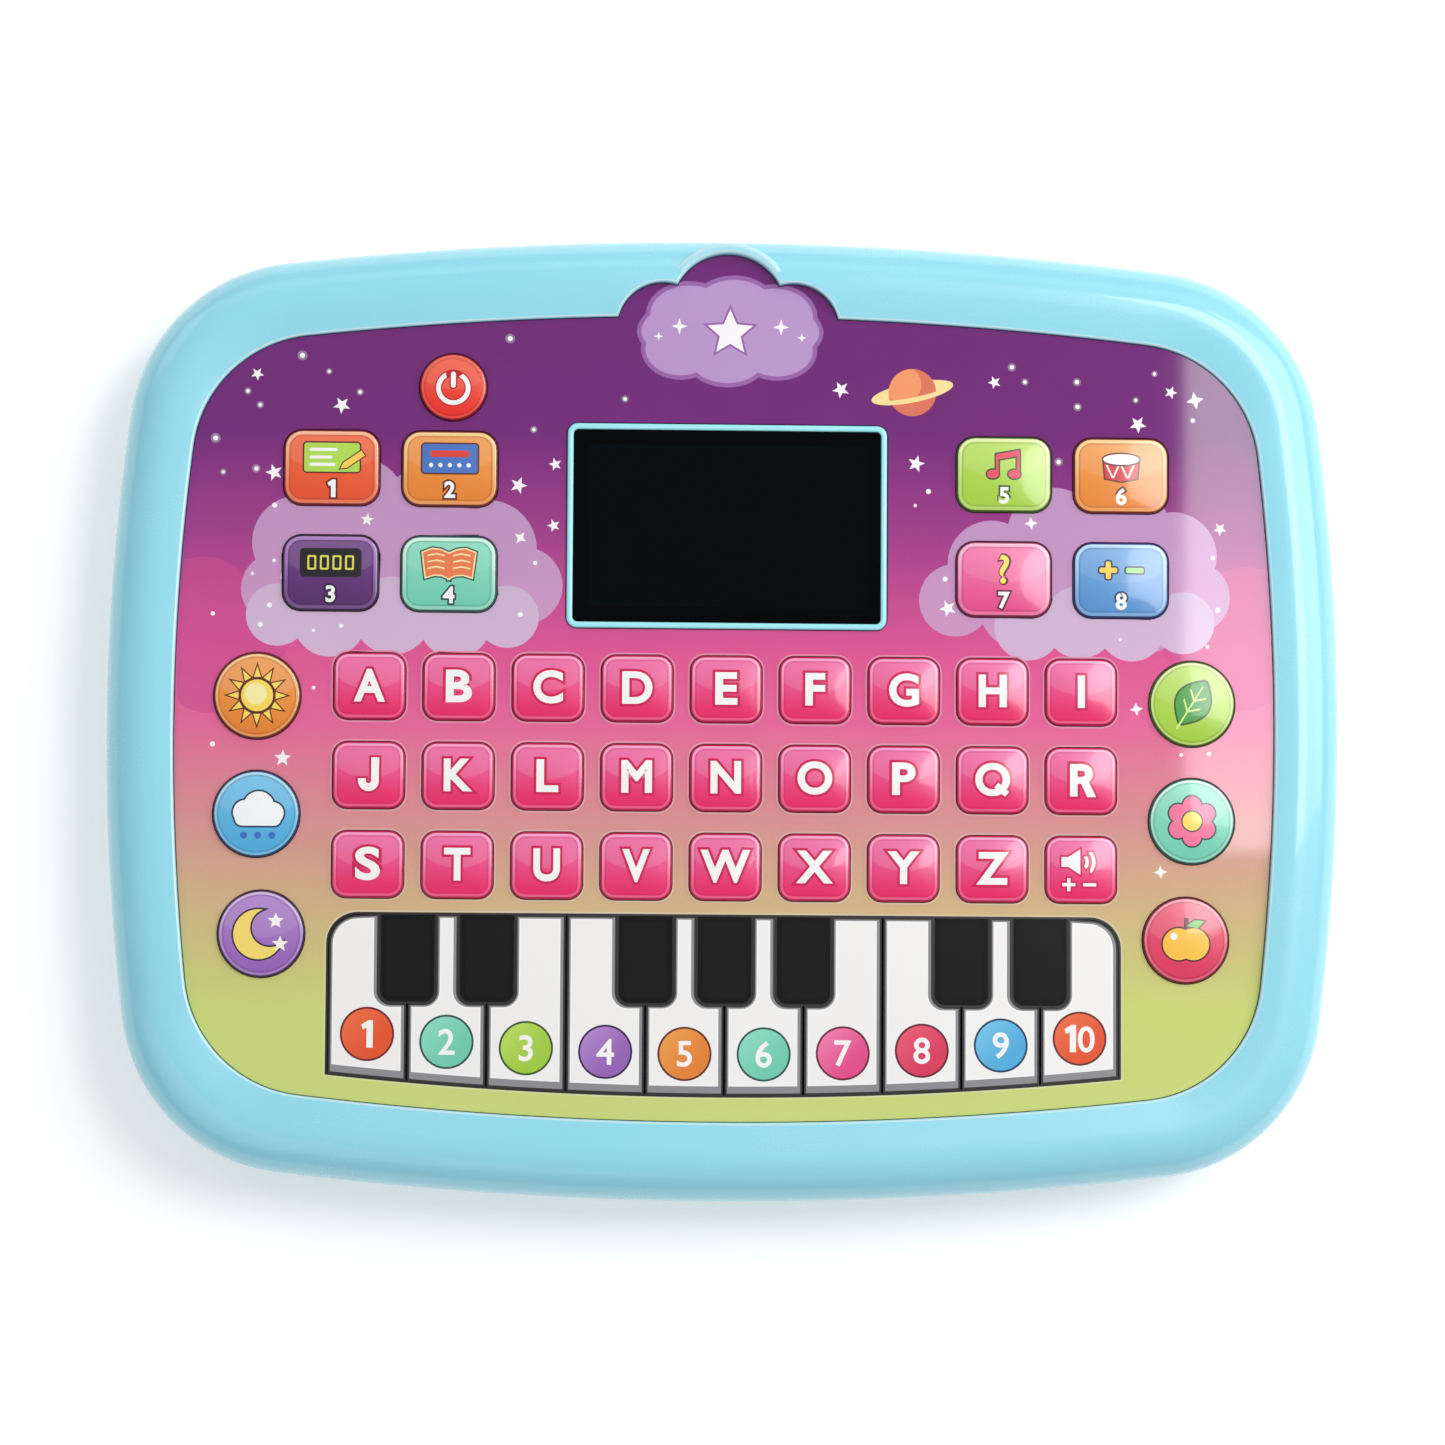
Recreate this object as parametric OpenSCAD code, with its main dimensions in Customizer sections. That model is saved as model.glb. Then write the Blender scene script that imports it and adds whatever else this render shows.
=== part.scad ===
// Toy learning computer in one flat case: a two-shell housing with a printed
// face panel, a display window and sprung keys: letters, modes, pictures, piano.
// X runs across the width, Y up the face, Z out of the face. The case lies on its feet.

/* [Case] */
// Width of the case
case_w = 237.4; // [225:0.2:245]
// Height of the case up the face
case_h = 185.4; // [178:0.2:190]
// Thickness from the feet to the crest of the rim
case_t = 26; // [26:0.5:30]
// Radius of the four corners
corner_r = 34; // [30:1:38]
// Radius of the bowed left and right sides
side_bow_r = 450; // [400:10:600]
// Radius of the bowed top and bottom
top_bow_r = 715; // [650:5:900]
// Thickness of the moulded walls
wall = 2.2; // [1.8:0.1:2.4]

/* [Face] */
// Width of the recess for the printed panel
recess_w = 211; // [205:0.5:213]
// Distance of the recess's top edge from the middle of the face
recess_top = 78.6; // [77:0.2:80]
// Distance of the recess's bottom edge from the middle of the face
recess_bottom = 76.4; // [75:0.2:78]
// Corner radius of the recess
recess_r = 24.5; // [22:0.5:28]
// Radius of the middle lobe of the cloud notch in the top of the rim
lobe_r = 11.1; // [10:0.1:12]
// Width of the display window
window_w = 59.2; // [56:0.2:62]
// Height of the display window
window_h = 37.2; // [35:0.2:39]

/* [Keys] */
// Width of a letter key
letter_w = 13.7; // [12.5:0.1:14]
// Height of a letter key
letter_h = 12.8; // [12:0.1:13.4]
// Distance between letter keys along a row
letter_pitch_x = 17.05; // [16.9:0.05:17.2]
// Distance between rows of letter keys
letter_pitch_y = 17.05; // [16.8:0.05:17.2]
// Width of a mode key
mode_w = 18.4; // [17:0.1:19]
// Height of a mode key
mode_h = 14.6; // [13:0.1:15]
// Radius of a picture key
picture_r = 8.3; // [7.5:0.1:8.6]
// Radius of the power key
power_r = 6.5; // [6:0.1:7]
// Width of one white piano key with its gap
piano_pitch = 15.1; // [14.8:0.02:15.3]
// How far a key stands out of the panel at its middle
key_rise = 1.1; // [0.8:0.1:1.3]
// How far a key travels when it is pressed
key_travel = 0.8; // [0.4:0.1:0.8]
// Gap between a key and its opening
key_gap = 0.35; // [0.3:0.05:0.4]

/* [Power supply] */
// Diameter of one battery cell
cell_d = 10.5; // [10:0.1:10.5]
// Length of one battery cell
cell_l = 44.5; // [44:0.1:45]
// Outer diameter of the speaker
speaker_d = 40; // [36:1:42]

/* [Hidden] */

// Levels up the case
foot_h = 1.2;
floor_top = foot_h + wall;
split_z = 13.5;
web_z = case_t - 4.2;
web_top = web_z + 2;
film_t = 0.4;
film_top = web_top + film_t;
key_top = film_top + key_rise;
piano_top = film_top + 0.25;
flange_t = 1.2;
flange_top = web_z - 0.3;
flange_z = flange_top - flange_t;
dome_top = flange_z - key_travel - 0.2;
board_t = 1.6;
board_top = dome_top - 1;
board_z = board_top - board_t;
window_t = 1.4;
window_z = film_top + 0.2 - window_t;

// Plan of the face
case_y = 1.3;
recess_bow_r = 700;
lobe_y = 79.5;
side_lobe_r = 9;
side_lobe = [12.5, 76];
collar_w = 2.1;
bead_r = 1.25;
collar_z = web_z + 0.5;
window_y = 37.8;
window_gap = 0.15;
frame_w = 1.15;
frame_r = 2;
frame_rise = 0.5;
ledge_w = 1.8;
ledge_r = 1;

// Places of the keys
letter_rows = [6.4, 6.4 - letter_pitch_y, 6.4 - 2 * letter_pitch_y];
letter_names = "abcdefghijklmnopqrstuvwxyz";
columns = 9;
letter_count = 27;
letter_key_r = 2.8;
mode_key_r = 3.6;
mode_names = ["letters", "words", "spelling", "reading", "song", "music", "question", "sums"];
mode_colours = ["orangered", "orange", "indigo", "mediumaquamarine",
    "yellowgreen", "darkorange", "hotpink", "royalblue"];
mode_x = [-75.9, -53.3, 53.3, 75.9];
mode_y = [48.4, 28.1];
mode_places = [for (half = [0, 2], y = mode_y, column = [0, 1]) [mode_x[half + column], y]];
picture_names = ["left_top", "left_middle", "left_bottom", "right_top", "right_middle", "right_bottom"];
picture_colours = ["orange", "deepskyblue", "mediumpurple", "limegreen", "mediumaquamarine", "crimson"];
picture_side = [[89.6, 4.35], [89.5, -18.25], [88.3, -41.1]];
picture_places = [for (side = [-1, 1], p = picture_side) [side * p[0], p[1]]];
power_place = [-52.8, 64.2];
power_flange = 0.7;
key_flange = 1;
key_dome = 0.6;

// Piano keyboard
piano_keys = 10;
piano_w = piano_keys * piano_pitch;
piano_y = -37.2;
piano_end_y = -67.4;
piano_low_y = -71.25;
piano_bow_r = (pow(piano_w / 2, 2) + pow(piano_end_y - piano_low_y, 2)) / 2 / (piano_end_y - piano_low_y);
piano_corner_r = 5.6;
black_w = 10.25;
black_l = 16.6;
black_over = 5;
black_r = 2;
piano_gap = 0.2;
piano_hook = 1.6;
piano_pad_in = 25;
black_edges = [1, 2, 4, 5, 6, 8, 9];

// Circuit board and display
board_w = 200;
board_h = 143;
board_r = 30;
display_w = 54;
display_h = 32;
chip_place = [56, -46];
chip_w = 16;
chip_t = 2;
pad_r = 3;
pad_places = concat(
    [for (i = [0:letter_count - 1]) key_place(i)], mode_places, picture_places, [power_place],
    [for (i = [0:piano_keys - 1]) [(i + 0.5) * piano_pitch - piano_w / 2, piano_y - piano_pad_in]]);

// Screw posts, clear of the board
case_screws = [for (x = [-92, 92], y = [-67, 67]) [x, y], for (x = [-40, 40], y = [-80.5, 80.5]) [x, y]];
post_r = 3.6;
post_gap = 0.3;
pilot_r = 1.2;
shank_r = 1.7;
well_r = 3.4;
well_h = 5;
well_wall = 1.6;
case_pilot_h = 7;
board_post_r = 2.4;
board_pilot_h = 4.5;
board_posts = [for (x = [-1, 1], p = [[93, 20], [36, 62]]) [x * p[0], p[1]]];

// Battery bay, with its door in the back
cells = 3;
cell_pitch = cell_d + 0.6;
bay_w = 52;
bay_h = cells * cell_pitch + 2;
bay_wall = 1.4;
bay_place = [14, -8];
door_w = 60;
door_h = 42;
door_t = 1.3;
door_r = 3;
door_gap = 0.35;
hatch_inset = 2;
tab_w = 8;
tab_x = 17;
tab_t = 1;
tab_start = 0.2;
tab_end = 3.9;
tab_stem = 1.6;
tab_lift = 0.4;
tab_ledge = 1.2;
tab_pocket = [tab_w + 1, 8, 4.2];
grip_ribs = 6;
grip = [26, 0.9, 0.35];
grip_pitch = 2;
grip_y = 6;
door_screw_in = 5;
door_pilot_h = 9;
screw_head_r = 3;
screw_head_h = 0.5;
cell_z = floor_top + 0.5 + cell_d / 2;

// Speaker with its grille in the back
speaker_place = [-62, -8];
speaker_t = 8;
speaker_lift = 0.2;
speaker_collar_t = 1.3;
speaker_collar_h = 3;
cone_profile = [[0, 1.2], [6, 0.4], [speaker_d / 2 - 3, 1], [speaker_d / 2 - 3, 0], [speaker_d / 2, 0],
    [speaker_d / 2, 1.6], [speaker_d / 2 - 4, 4.4], [speaker_d / 4 + 1, 4.8], [speaker_d / 4 + 1, speaker_t],
    [0, speaker_t]];
slot_w = 2.2;
slot_pitch = 4.4;
grille_r = 17;

// Moulded feet
feet = [for (x = [-84, 84], y = [-60, 60]) [x, y]];
foot_r = 6;
over = 1;

// Stiffening ribs across the floor of the back shell
rib_t = 1.4;
rib_h = 3;
rib_x = [-28.5, 58, 74];
rib_y = [-46, 46];
rib_reach = [84, 58];

// Rolled edges of the two shells, and how finely they are faceted
roll_r = 8;
edge_r = 8;
roll_steps = 7;
side_steps = 4;
corner_steps = 12;
top_steps = 5;
web_inset = 2.3;
lip_t = 1;
lip_h = 1.5;
lip_gap = 0.2;
groove = [[0.3, 0], [0.3, 0.15], [0, 0.4]];

// Centre of the corner that touches both bowed sides inside
function corner_place(w, h, rs, rt, r) =
    let (sx = w - rs, ty = h - rt, ds = rs - r, dt = rt - r,
         d = norm([sx, ty]), a = (ds * ds - dt * dt + d * d) / 2 / d, b = sqrt(ds * ds - a * a))
    [sx - a * sx / d - b * ty / d, a * ty / d - b * sx / d];

function key_place(i) =
    [(i % columns - (columns - 1) / 2) * letter_pitch_x, letter_rows[floor(i / columns)]];

// One quarter of a plate with bowed sides and round corners, shrunk by inset
module bowed_quarter(w, h, rs, rt, r, inset) {
    c = corner_place(w, h, rs, rt, r);
    side = [w - rs, 0];
    top = [0, h - rt];
    difference() {
        intersection() {
            square([w, h]);
            translate(side) circle(rs - inset, $fn = 720);
            translate(top) circle(rt - inset, $fn = 1080);
        }
        polygon([c, c + (c - side) / norm(c - side) * 2 * r, [w + r, h + r],
            c + (c - top) / norm(c - top) * 2 * r]);
    }
    translate(c) circle(r - inset, $fn = 120);
}

// Outline of the recess for the face panel, with the cloud notch in its top edge
module recess_outline(inset = 0) {
    for (mx = [0, 1]) mirror([mx, 0]) {
        bowed_quarter(recess_w / 2, recess_top, side_bow_r, recess_bow_r, recess_r, inset);
        mirror([0, 1]) bowed_quarter(recess_w / 2, recess_bottom, side_bow_r, recess_bow_r, recess_r, inset);
        translate(side_lobe) circle(side_lobe_r - inset, $fn = 72);
    }
    translate([0, lobe_y]) circle(lobe_r - inset, $fn = 72);
}

// Points along an arc, without its last one
function arc(c, r, a0, a1, n) =
    [for (i = [0:n - 1]) let (a = a0 + (a1 - a0) * i / n) c + r * [cos(a), sin(a)]];

// One quarter of the case's outline, shrunk by inset, from its right-hand middle to its top middle
function quarter_points(inset) =
    let (c = corner_place(case_w / 2, case_h / 2, side_bow_r, top_bow_r, corner_r),
         side = [case_w / 2 - side_bow_r, 0],
         top = [0, case_h / 2 - top_bow_r],
         a_side = atan2((c - side)[1], (c - side)[0]),
         a_top = atan2((c - top)[1], (c - top)[0]))
    concat(arc(side, side_bow_r - inset, 0, a_side, side_steps),
           arc(c, corner_r - inset, a_side, a_top, corner_steps),
           arc(top, top_bow_r - inset, a_top, 90, top_steps));

function flipped(points, x, y) = [for (p = points) [x * p[0], y * p[1]]];
function backwards(points) = [for (i = [len(points) - 1:-1:0]) points[i]];

// The whole outline, shrunk by inset, as one ring of points
function case_ring(inset) =
    let (q = quarter_points(inset),
         inner = [for (i = [1:len(q) - 1]) q[i]],
         side = [case_w / 2 - inset, 0],
         top = [0, case_h / 2 - inset])
    concat(q, [top], flipped(backwards(inner), -1, 1), [-side], flipped(inner, -1, -1), [-top],
           flipped(backwards(inner), 1, -1));

// Solid lofted through rings of the case's outline, each given as [inset, level]
module lofted(levels) {
    n = len(case_ring(0));
    last = len(levels) - 1;
    points = [for (l = levels, p = case_ring(l[0])) [p[0], p[1] + case_y, l[1]]];
    sides = [for (j = [0:last - 1], i = [0:n - 1])
        [j * n + i, (j + 1) * n + i, (j + 1) * n + (i + 1) % n, j * n + (i + 1) % n]];
    low_end = [for (i = [0:n - 1]) i];
    high_end = [for (i = [n - 1:-1:0]) last * n + i];
    polyhedron(points, concat([low_end], sides, [high_end]));
}

// Body with its upper edge rolled over, shrunk by inset, from its low rings up to its crest
module rolled_top(inset, low, crest) {
    lofted(concat(low, [for (i = [0:roll_steps]) let (a = 90 * i / roll_steps)
        [roll_r - (roll_r - inset) * cos(a), crest - roll_r + (roll_r - inset) * sin(a)]]));
}

// Body with its lower edge rolled under, shrunk by inset, from its floor up to its high rings
module rolled_base(inset, floor_z, high) {
    lofted(concat([for (i = [roll_steps:-1:0]) let (a = 90 * i / roll_steps)
        [edge_r - (edge_r - inset) * cos(a), floor_z + edge_r - (edge_r - inset) * sin(a)]], high));
}

module rounded_rectangle(w, h, r) {
    square([w - 2 * r, h], center = true);
    square([w, h - 2 * r], center = true);
    for (x = [-1, 1], y = [-1, 1]) translate([x * (w / 2 - r), y * (h / 2 - r)]) circle(r, $fn = 40);
}

// Visible shape of the whole piano keyboard, with a bowed front edge
module piano_outline(grow = 0) {
    intersection() {
        translate([0, piano_low_y + piano_bow_r]) circle(piano_bow_r + grow, $fn = 720);
        union() {
            translate([-piano_w / 2 - grow, piano_low_y - 2 * over])
                square([piano_w + 2 * grow, piano_y - piano_low_y + 2 * over - piano_corner_r]);
            translate([-piano_w / 2 + piano_corner_r, piano_y - piano_corner_r - over])
                square([piano_w - 2 * piano_corner_r, piano_corner_r + over + grow]);
            for (x = [-1, 1]) translate([x * (piano_w / 2 - piano_corner_r), piano_y - piano_corner_r])
                circle(piano_corner_r + grow, $fn = 60);
        }
    }
}

// Black keys: printed tongues of the panel that reach down between the white keys
module black_tongues(grow = 0) {
    for (e = black_edges) translate([e * piano_pitch - piano_w / 2, piano_y + (black_over - black_l) / 2])
        rounded_rectangle(black_w + 2 * grow, black_l + black_over + 2 * grow, black_r);
}

// All the openings for keys and the window, through the panel and the web
module key_openings(gap) {
    for (i = [0:letter_count - 1]) translate(key_place(i))
        rounded_rectangle(letter_w + 2 * gap, letter_h + 2 * gap, letter_key_r + gap);
    for (p = mode_places) translate(p)
        rounded_rectangle(mode_w + 2 * gap, mode_h + 2 * gap, mode_key_r + gap);
    for (p = picture_places) translate(p) circle(picture_r + gap, $fn = 72);
    translate(power_place) circle(power_r + gap, $fn = 60);
    difference() {
        piano_outline(gap);
        black_tongues();
    }
}

// A key: a cap with a domed top, over a flange that the web holds in
module domed_key(half_span) {
    ball_r = (half_span * half_span + key_dome * key_dome) / 2 / key_dome;
    intersection() {
        translate([0, 0, flange_z + flange_t / 2]) linear_extrude(key_top - flange_z) children(0);
        translate([0, 0, key_top - ball_r]) sphere(ball_r, $fn = 240);
    }
    translate([0, 0, flange_z]) linear_extrude(flange_t) children(1);
}

module pillow_key(w, h, r) {
    domed_key(norm([w, h]) / 2) {
        rounded_rectangle(w, h, r);
        rounded_rectangle(w + 2 * key_flange, h + 2 * key_flange, r + key_flange);
    }
}

module round_key(r, flange) {
    domed_key(r) {
        circle(r, $fn = 72);
        circle(r + flange, $fn = 72);
    }
}

module letter_key(i) {
    color("hotpink") translate(key_place(i)) pillow_key(letter_w, letter_h, letter_key_r);
}

module mode_key(i) {
    color(mode_colours[i]) translate(mode_places[i]) pillow_key(mode_w, mode_h, mode_key_r);
}

module power_key() {
    color("red") translate(power_place) round_key(power_r, power_flange);
}

module picture_key(i) {
    color(picture_colours[i]) translate(picture_places[i]) round_key(picture_r, key_flange);
}

// Strip of the face that one white piano key fills
module piano_strip(i) {
    translate([i * piano_pitch - piano_w / 2 + piano_gap, piano_low_y - piano_hook - over])
        square([piano_pitch - 2 * piano_gap, piano_y - piano_low_y + 2 * (piano_hook + over)]);
}

// A white piano key: a flat plate between the tongues, hooked under the web at both ends
module piano_key(i) {
    color("white") {
        translate([0, 0, flange_z + flange_t / 2]) linear_extrude(piano_top - flange_z - flange_t / 2)
            difference() {
                intersection() {
                    piano_strip(i);
                    piano_outline();
                }
                black_tongues(key_gap);
            }
        translate([0, 0, flange_z]) linear_extrude(flange_t) intersection() {
            piano_strip(i);
            piano_outline(piano_hook);
        }
    }
}

module window_plan(grow, r) {
    translate([0, window_y]) rounded_rectangle(window_w + 2 * grow, window_h + 2 * grow, r);
}

// Front shell: the domed rim rolls over into a web, with the window's frame and the posts on it
module front_shell() {
    frame_h = film_top + frame_rise - web_z;
    color("lightblue") difference() {
        union() {
            difference() {
                union() {
                    difference() {
                        rolled_top(0, [for (g = groove) [g[0], split_z + g[1]]], case_t);
                        rolled_top(wall, [[wall, split_z - over]], case_t);
                    }
                    case_plate(web_inset, web_z, web_top);
                    notch_collar();
                }
                translate([0, 0, web_top]) linear_extrude(case_t) recess_outline();
            }
            translate([0, 0, web_z]) linear_extrude(frame_h) window_plan(frame_w, frame_r);
            for (p = case_screws) translate([p[0], p[1], split_z + post_gap])
                cylinder(h = web_z - split_z, r = post_r, $fn = 48);
            for (p = board_posts) translate([p[0], p[1], board_top])
                cylinder(h = web_top - over - board_top, r = board_post_r, $fn = 40);
        }
        translate([0, 0, web_z - over]) linear_extrude(web_top - web_z + 2 * over) key_openings(key_gap);
        translate([0, 0, window_z]) linear_extrude(frame_h) window_plan(0, frame_r - frame_w);
        translate([0, 0, web_z - over]) linear_extrude(frame_h) window_plan(-ledge_w, ledge_r);
        for (p = case_screws) translate([p[0], p[1], split_z - over])
            cylinder(h = case_pilot_h, r = pilot_r, $fn = 32);
        for (p = board_posts) translate([p[0], p[1], board_z])
            cylinder(h = board_pilot_h, r = pilot_r, $fn = 32);
    }
}

// Rounded ridge that follows the middle lobe of the notch
module notch_collar() {
    translate([0, lobe_y, 0]) rotate_extrude($fn = 96) {
        translate([lobe_r - 2 * over, collar_z]) square([collar_w + 2 * over, case_t - bead_r - collar_z]);
        translate([lobe_r + collar_w - bead_r, case_t - bead_r]) circle(bead_r, $fn = 32);
    }
}

module face_panel() {
    color("mediumorchid") translate([0, 0, web_top]) linear_extrude(film_t) difference() {
        recess_outline(window_gap);
        key_openings(key_gap);
        window_plan(frame_w + window_gap, frame_r + window_gap);
    }
}

module screen_window() {
    color("black") translate([0, 0, window_z]) linear_extrude(window_t)
        window_plan(-window_gap, frame_r - frame_w);
}

// Board with its display module, controller and the rubber pads that the keys press on
module circuit_board() {
    seat = over / 4;
    color("seagreen") {
        difference() {
            translate([0, 0, board_z]) linear_extrude(board_t) rounded_rectangle(board_w, board_h, board_r);
            for (p = board_posts) translate([p[0], p[1], board_z - over])
                cylinder(h = board_t + 2 * over, r = pilot_r, $fn = 32);
        }
        translate([-display_w / 2, window_y - display_h / 2, board_top - seat])
            cube([display_w, display_h, flange_top - board_top + seat]);
        translate([chip_place[0], chip_place[1], board_z - chip_t]) cube([chip_w, chip_w, chip_t + seat]);
        for (p = pad_places) translate([p[0], p[1], board_top - seat])
            cylinder(h = dome_top - board_top + seat, r = pad_r, $fn = 32);
    }
}

// Speaker: a steel basket with its magnet behind, facing the grille in the floor
module speaker() {
    color("dimgray") translate([speaker_place[0], speaker_place[1], floor_top + speaker_lift])
        rotate_extrude($fn = 96) polygon(cone_profile);
}

module batteries() {
    stud_r = 1.9;
    stud_h = 1;
    color("darkgoldenrod") for (i = [0:cells - 1])
        translate([bay_place[0], bay_place[1] + (i - (cells - 1) / 2) * cell_pitch, cell_z])
            rotate([0, i % 2 == 0 ? -90 : 90, 0]) translate([0, 0, -cell_l / 2]) {
                cylinder(h = cell_l - stud_h, r = cell_d / 2, $fn = 64);
                cylinder(h = cell_l, r = stud_r, $fn = 32);
            }
}

// Battery door: a plate flush with the floor, two hooked tabs on one long edge and a screw hole at the other
module battery_door() {
    tab_z = wall + tab_lift;
    color("skyblue") translate([bay_place[0], bay_place[1], foot_h]) difference() {
        union() {
            linear_extrude(door_t) rounded_rectangle(door_w, door_h, door_r);
            for (x = [-tab_x, tab_x]) translate([x - tab_w / 2, -door_h / 2, 0]) {
                translate([0, tab_end - tab_stem, 0]) cube([tab_w, tab_stem, tab_z + tab_t]);
                translate([0, tab_start, tab_z]) cube([tab_w, tab_end - tab_start, tab_t]);
            }
        }
        translate([0, door_h / 2 - door_screw_in, -over]) {
            cylinder(h = door_t + 2 * over, r = shank_r, $fn = 32);
            cylinder(h = over + screw_head_h, r = screw_head_r, $fn = 40);
        }
        for (i = [0:grip_ribs - 1])
            translate([-grip[0] / 2, grip_y - i * grip_pitch - grip[1] / 2, 0]) cube(grip);
    }
}

// Ribs that stiffen the floor, along and across
module floor_ribs() {
    rib_z = floor_top - over / 2;
    for (x = rib_x) translate([x - rib_t / 2, -rib_reach[1], rib_z]) cube([rib_t, 2 * rib_reach[1], rib_h]);
    for (y = rib_y) translate([-rib_reach[0], y - rib_t / 2, rib_z]) cube([2 * rib_reach[0], rib_t, rib_h]);
}

// Slots of the speaker grille, longer towards the middle of the ring
module grille_slots() {
    rows = floor(grille_r / slot_pitch);
    for (n = [-rows:rows]) {
        half = sqrt(grille_r * grille_r - n * n * slot_pitch * slot_pitch) - slot_w / 2;
        translate([-half, n * slot_pitch - slot_w / 2]) square([2 * half, slot_w]);
        for (x = [-half, half]) translate([x, n * slot_pitch]) circle(slot_w / 2, $fn = 24);
    }
}

// Plate in the case's outline, shrunk by inset, between two levels
module case_plate(inset, low, high) {
    lofted([[inset, low], [inset, high]]);
}

// Lip inside the split, which the front shell's wall slips over
module locating_lip() {
    lip_in = wall + lip_gap;
    difference() {
        union() {
            case_plate(wall / 2, split_z - lip_h, split_z - lip_gap);
            case_plate(lip_in, split_z - lip_h + lip_gap / 2, split_z + lip_h);
        }
        case_plate(lip_in + lip_t, split_z - 2 * lip_h, split_z + 2 * lip_h);
    }
}

// Back shell: a rolled tray with feet, screw wells, the battery bay and the speaker's grille
module back_shell() {
    bay_top = board_z - lip_gap;
    color("lightblue") difference() {
        union() {
            difference() {
                rolled_base(0, foot_h,
                    [for (i = [len(groove) - 1:-1:0]) [groove[i][0], split_z - groove[i][1]]]);
                rolled_base(wall, foot_h, [[wall, split_z + over]]);
            }
            locating_lip();
            for (p = feet) translate([p[0], p[1], 0]) cylinder(h = floor_top - over, r = foot_r, $fn = 64);
            floor_ribs();
            for (p = case_screws) translate([p[0], p[1], foot_h])
                cylinder(h = split_z - foot_h, r = well_r + well_wall, $fn = 64);
            translate([bay_place[0], bay_place[1], foot_h]) linear_extrude(bay_top - foot_h)
                rounded_rectangle(door_w + 2 * over, door_h + 2 * over, ledge_r);
            translate([speaker_place[0], speaker_place[1], foot_h]) linear_extrude(wall + speaker_collar_h)
                difference() {
                    circle(speaker_d / 2 + speaker_lift + speaker_collar_t, $fn = 96);
                    circle(speaker_d / 2 + speaker_lift, $fn = 96);
                }
        }
        for (p = case_screws) translate([p[0], p[1], foot_h - over]) {
            cylinder(h = well_h + over, r = well_r, $fn = 48);
            cylinder(h = split_z, r = shank_r, $fn = 32);
        }
        battery_bay();
        translate([speaker_place[0], speaker_place[1], foot_h - over]) linear_extrude(wall + 2 * over)
            grille_slots();
    }
}

// Space for the cells, the hatch under them, the seat of the door and the pockets of its tabs
module battery_bay() {
    seat = door_t + lip_gap;
    fit = tab_lift + lip_gap;
    translate([bay_place[0], bay_place[1], foot_h]) {
        linear_extrude(cell_z + cell_d / 2 + tab_lift - foot_h) rounded_rectangle(bay_w, bay_h, over / 2);
        translate([0, 0, -over]) linear_extrude(seat + over)
            rounded_rectangle(door_w + 2 * door_gap, door_h + 2 * door_gap, door_r + door_gap);
        translate([0, 0, -over]) linear_extrude(wall + 2 * over)
            rounded_rectangle(door_w - 2 * hatch_inset, door_h - 2 * hatch_inset, ledge_r);
        for (x = [-tab_x, tab_x]) translate([x - tab_pocket[0] / 2, -door_h / 2, 0]) {
            translate([0, -fit, wall]) cube(tab_pocket);
            translate([0, tab_ledge, -over])
                cube([tab_pocket[0], tab_pocket[1] - tab_ledge - fit, wall + 2 * over]);
        }
        translate([0, door_h / 2 - door_screw_in, 0]) cylinder(h = door_pilot_h, r = pilot_r, $fn = 32);
    }
}

// The plan is drawn from the middle of the face; this puts the middle of the case on the origin
module place() {
    translate([0, -case_y, 0]) children();
}

place() back_shell();
place() front_shell();
place() face_panel();
place() screen_window();
place() circuit_board();
place() speaker();
place() batteries();
place() battery_door();
place() power_key();  // key_power
place() letter_key(letter_count - 1);  // key_volume
for (i = [0:letter_count - 2])
    place() letter_key(i);
for (i = [0:len(mode_places) - 1])
    place() mode_key(i);
for (i = [0:len(picture_places) - 1])
    place() picture_key(i);
for (i = [0:piano_keys - 1])
    place() piano_key(i);
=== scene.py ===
import math
import random

import bmesh
import bpy
import numpy as np
from mathutils import Matrix, Vector
from mathutils.geometry import delaunay_2d_cdt


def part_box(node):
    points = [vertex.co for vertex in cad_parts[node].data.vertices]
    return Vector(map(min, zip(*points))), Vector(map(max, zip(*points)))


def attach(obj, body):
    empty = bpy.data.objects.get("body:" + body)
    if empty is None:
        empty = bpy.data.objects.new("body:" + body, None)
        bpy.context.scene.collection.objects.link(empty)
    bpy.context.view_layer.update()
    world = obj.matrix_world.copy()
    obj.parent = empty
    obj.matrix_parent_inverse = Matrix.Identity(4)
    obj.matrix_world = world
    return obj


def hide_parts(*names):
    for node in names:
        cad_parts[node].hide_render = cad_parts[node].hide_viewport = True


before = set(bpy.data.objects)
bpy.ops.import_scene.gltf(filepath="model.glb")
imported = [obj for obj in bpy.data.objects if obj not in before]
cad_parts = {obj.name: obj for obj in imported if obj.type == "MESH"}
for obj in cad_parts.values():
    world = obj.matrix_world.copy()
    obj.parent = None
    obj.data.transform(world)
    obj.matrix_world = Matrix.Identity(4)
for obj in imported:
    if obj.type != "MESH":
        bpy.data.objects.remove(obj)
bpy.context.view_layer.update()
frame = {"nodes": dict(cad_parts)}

bl_info = {
    "name": "Learning tablet toy",
    "version": (1, 0, 0),
    "blender": (4, 5, 0),
    "location": "3D view > Sidebar > Toy",
    "description": "Builds the finished pieces of a toy learning tablet over its packed frame",
    "category": "Object",
}

MM = 0.001


# ---------------------------------------------------------------- places taken from the frame
def span(node):
    """Centre and size of a CAD node, in millimetres."""
    lo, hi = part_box(node)
    return (lo + hi) / 2 / MM, (hi - lo) / MM


def top_of(node):
    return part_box(node)[1].z / MM


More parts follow.
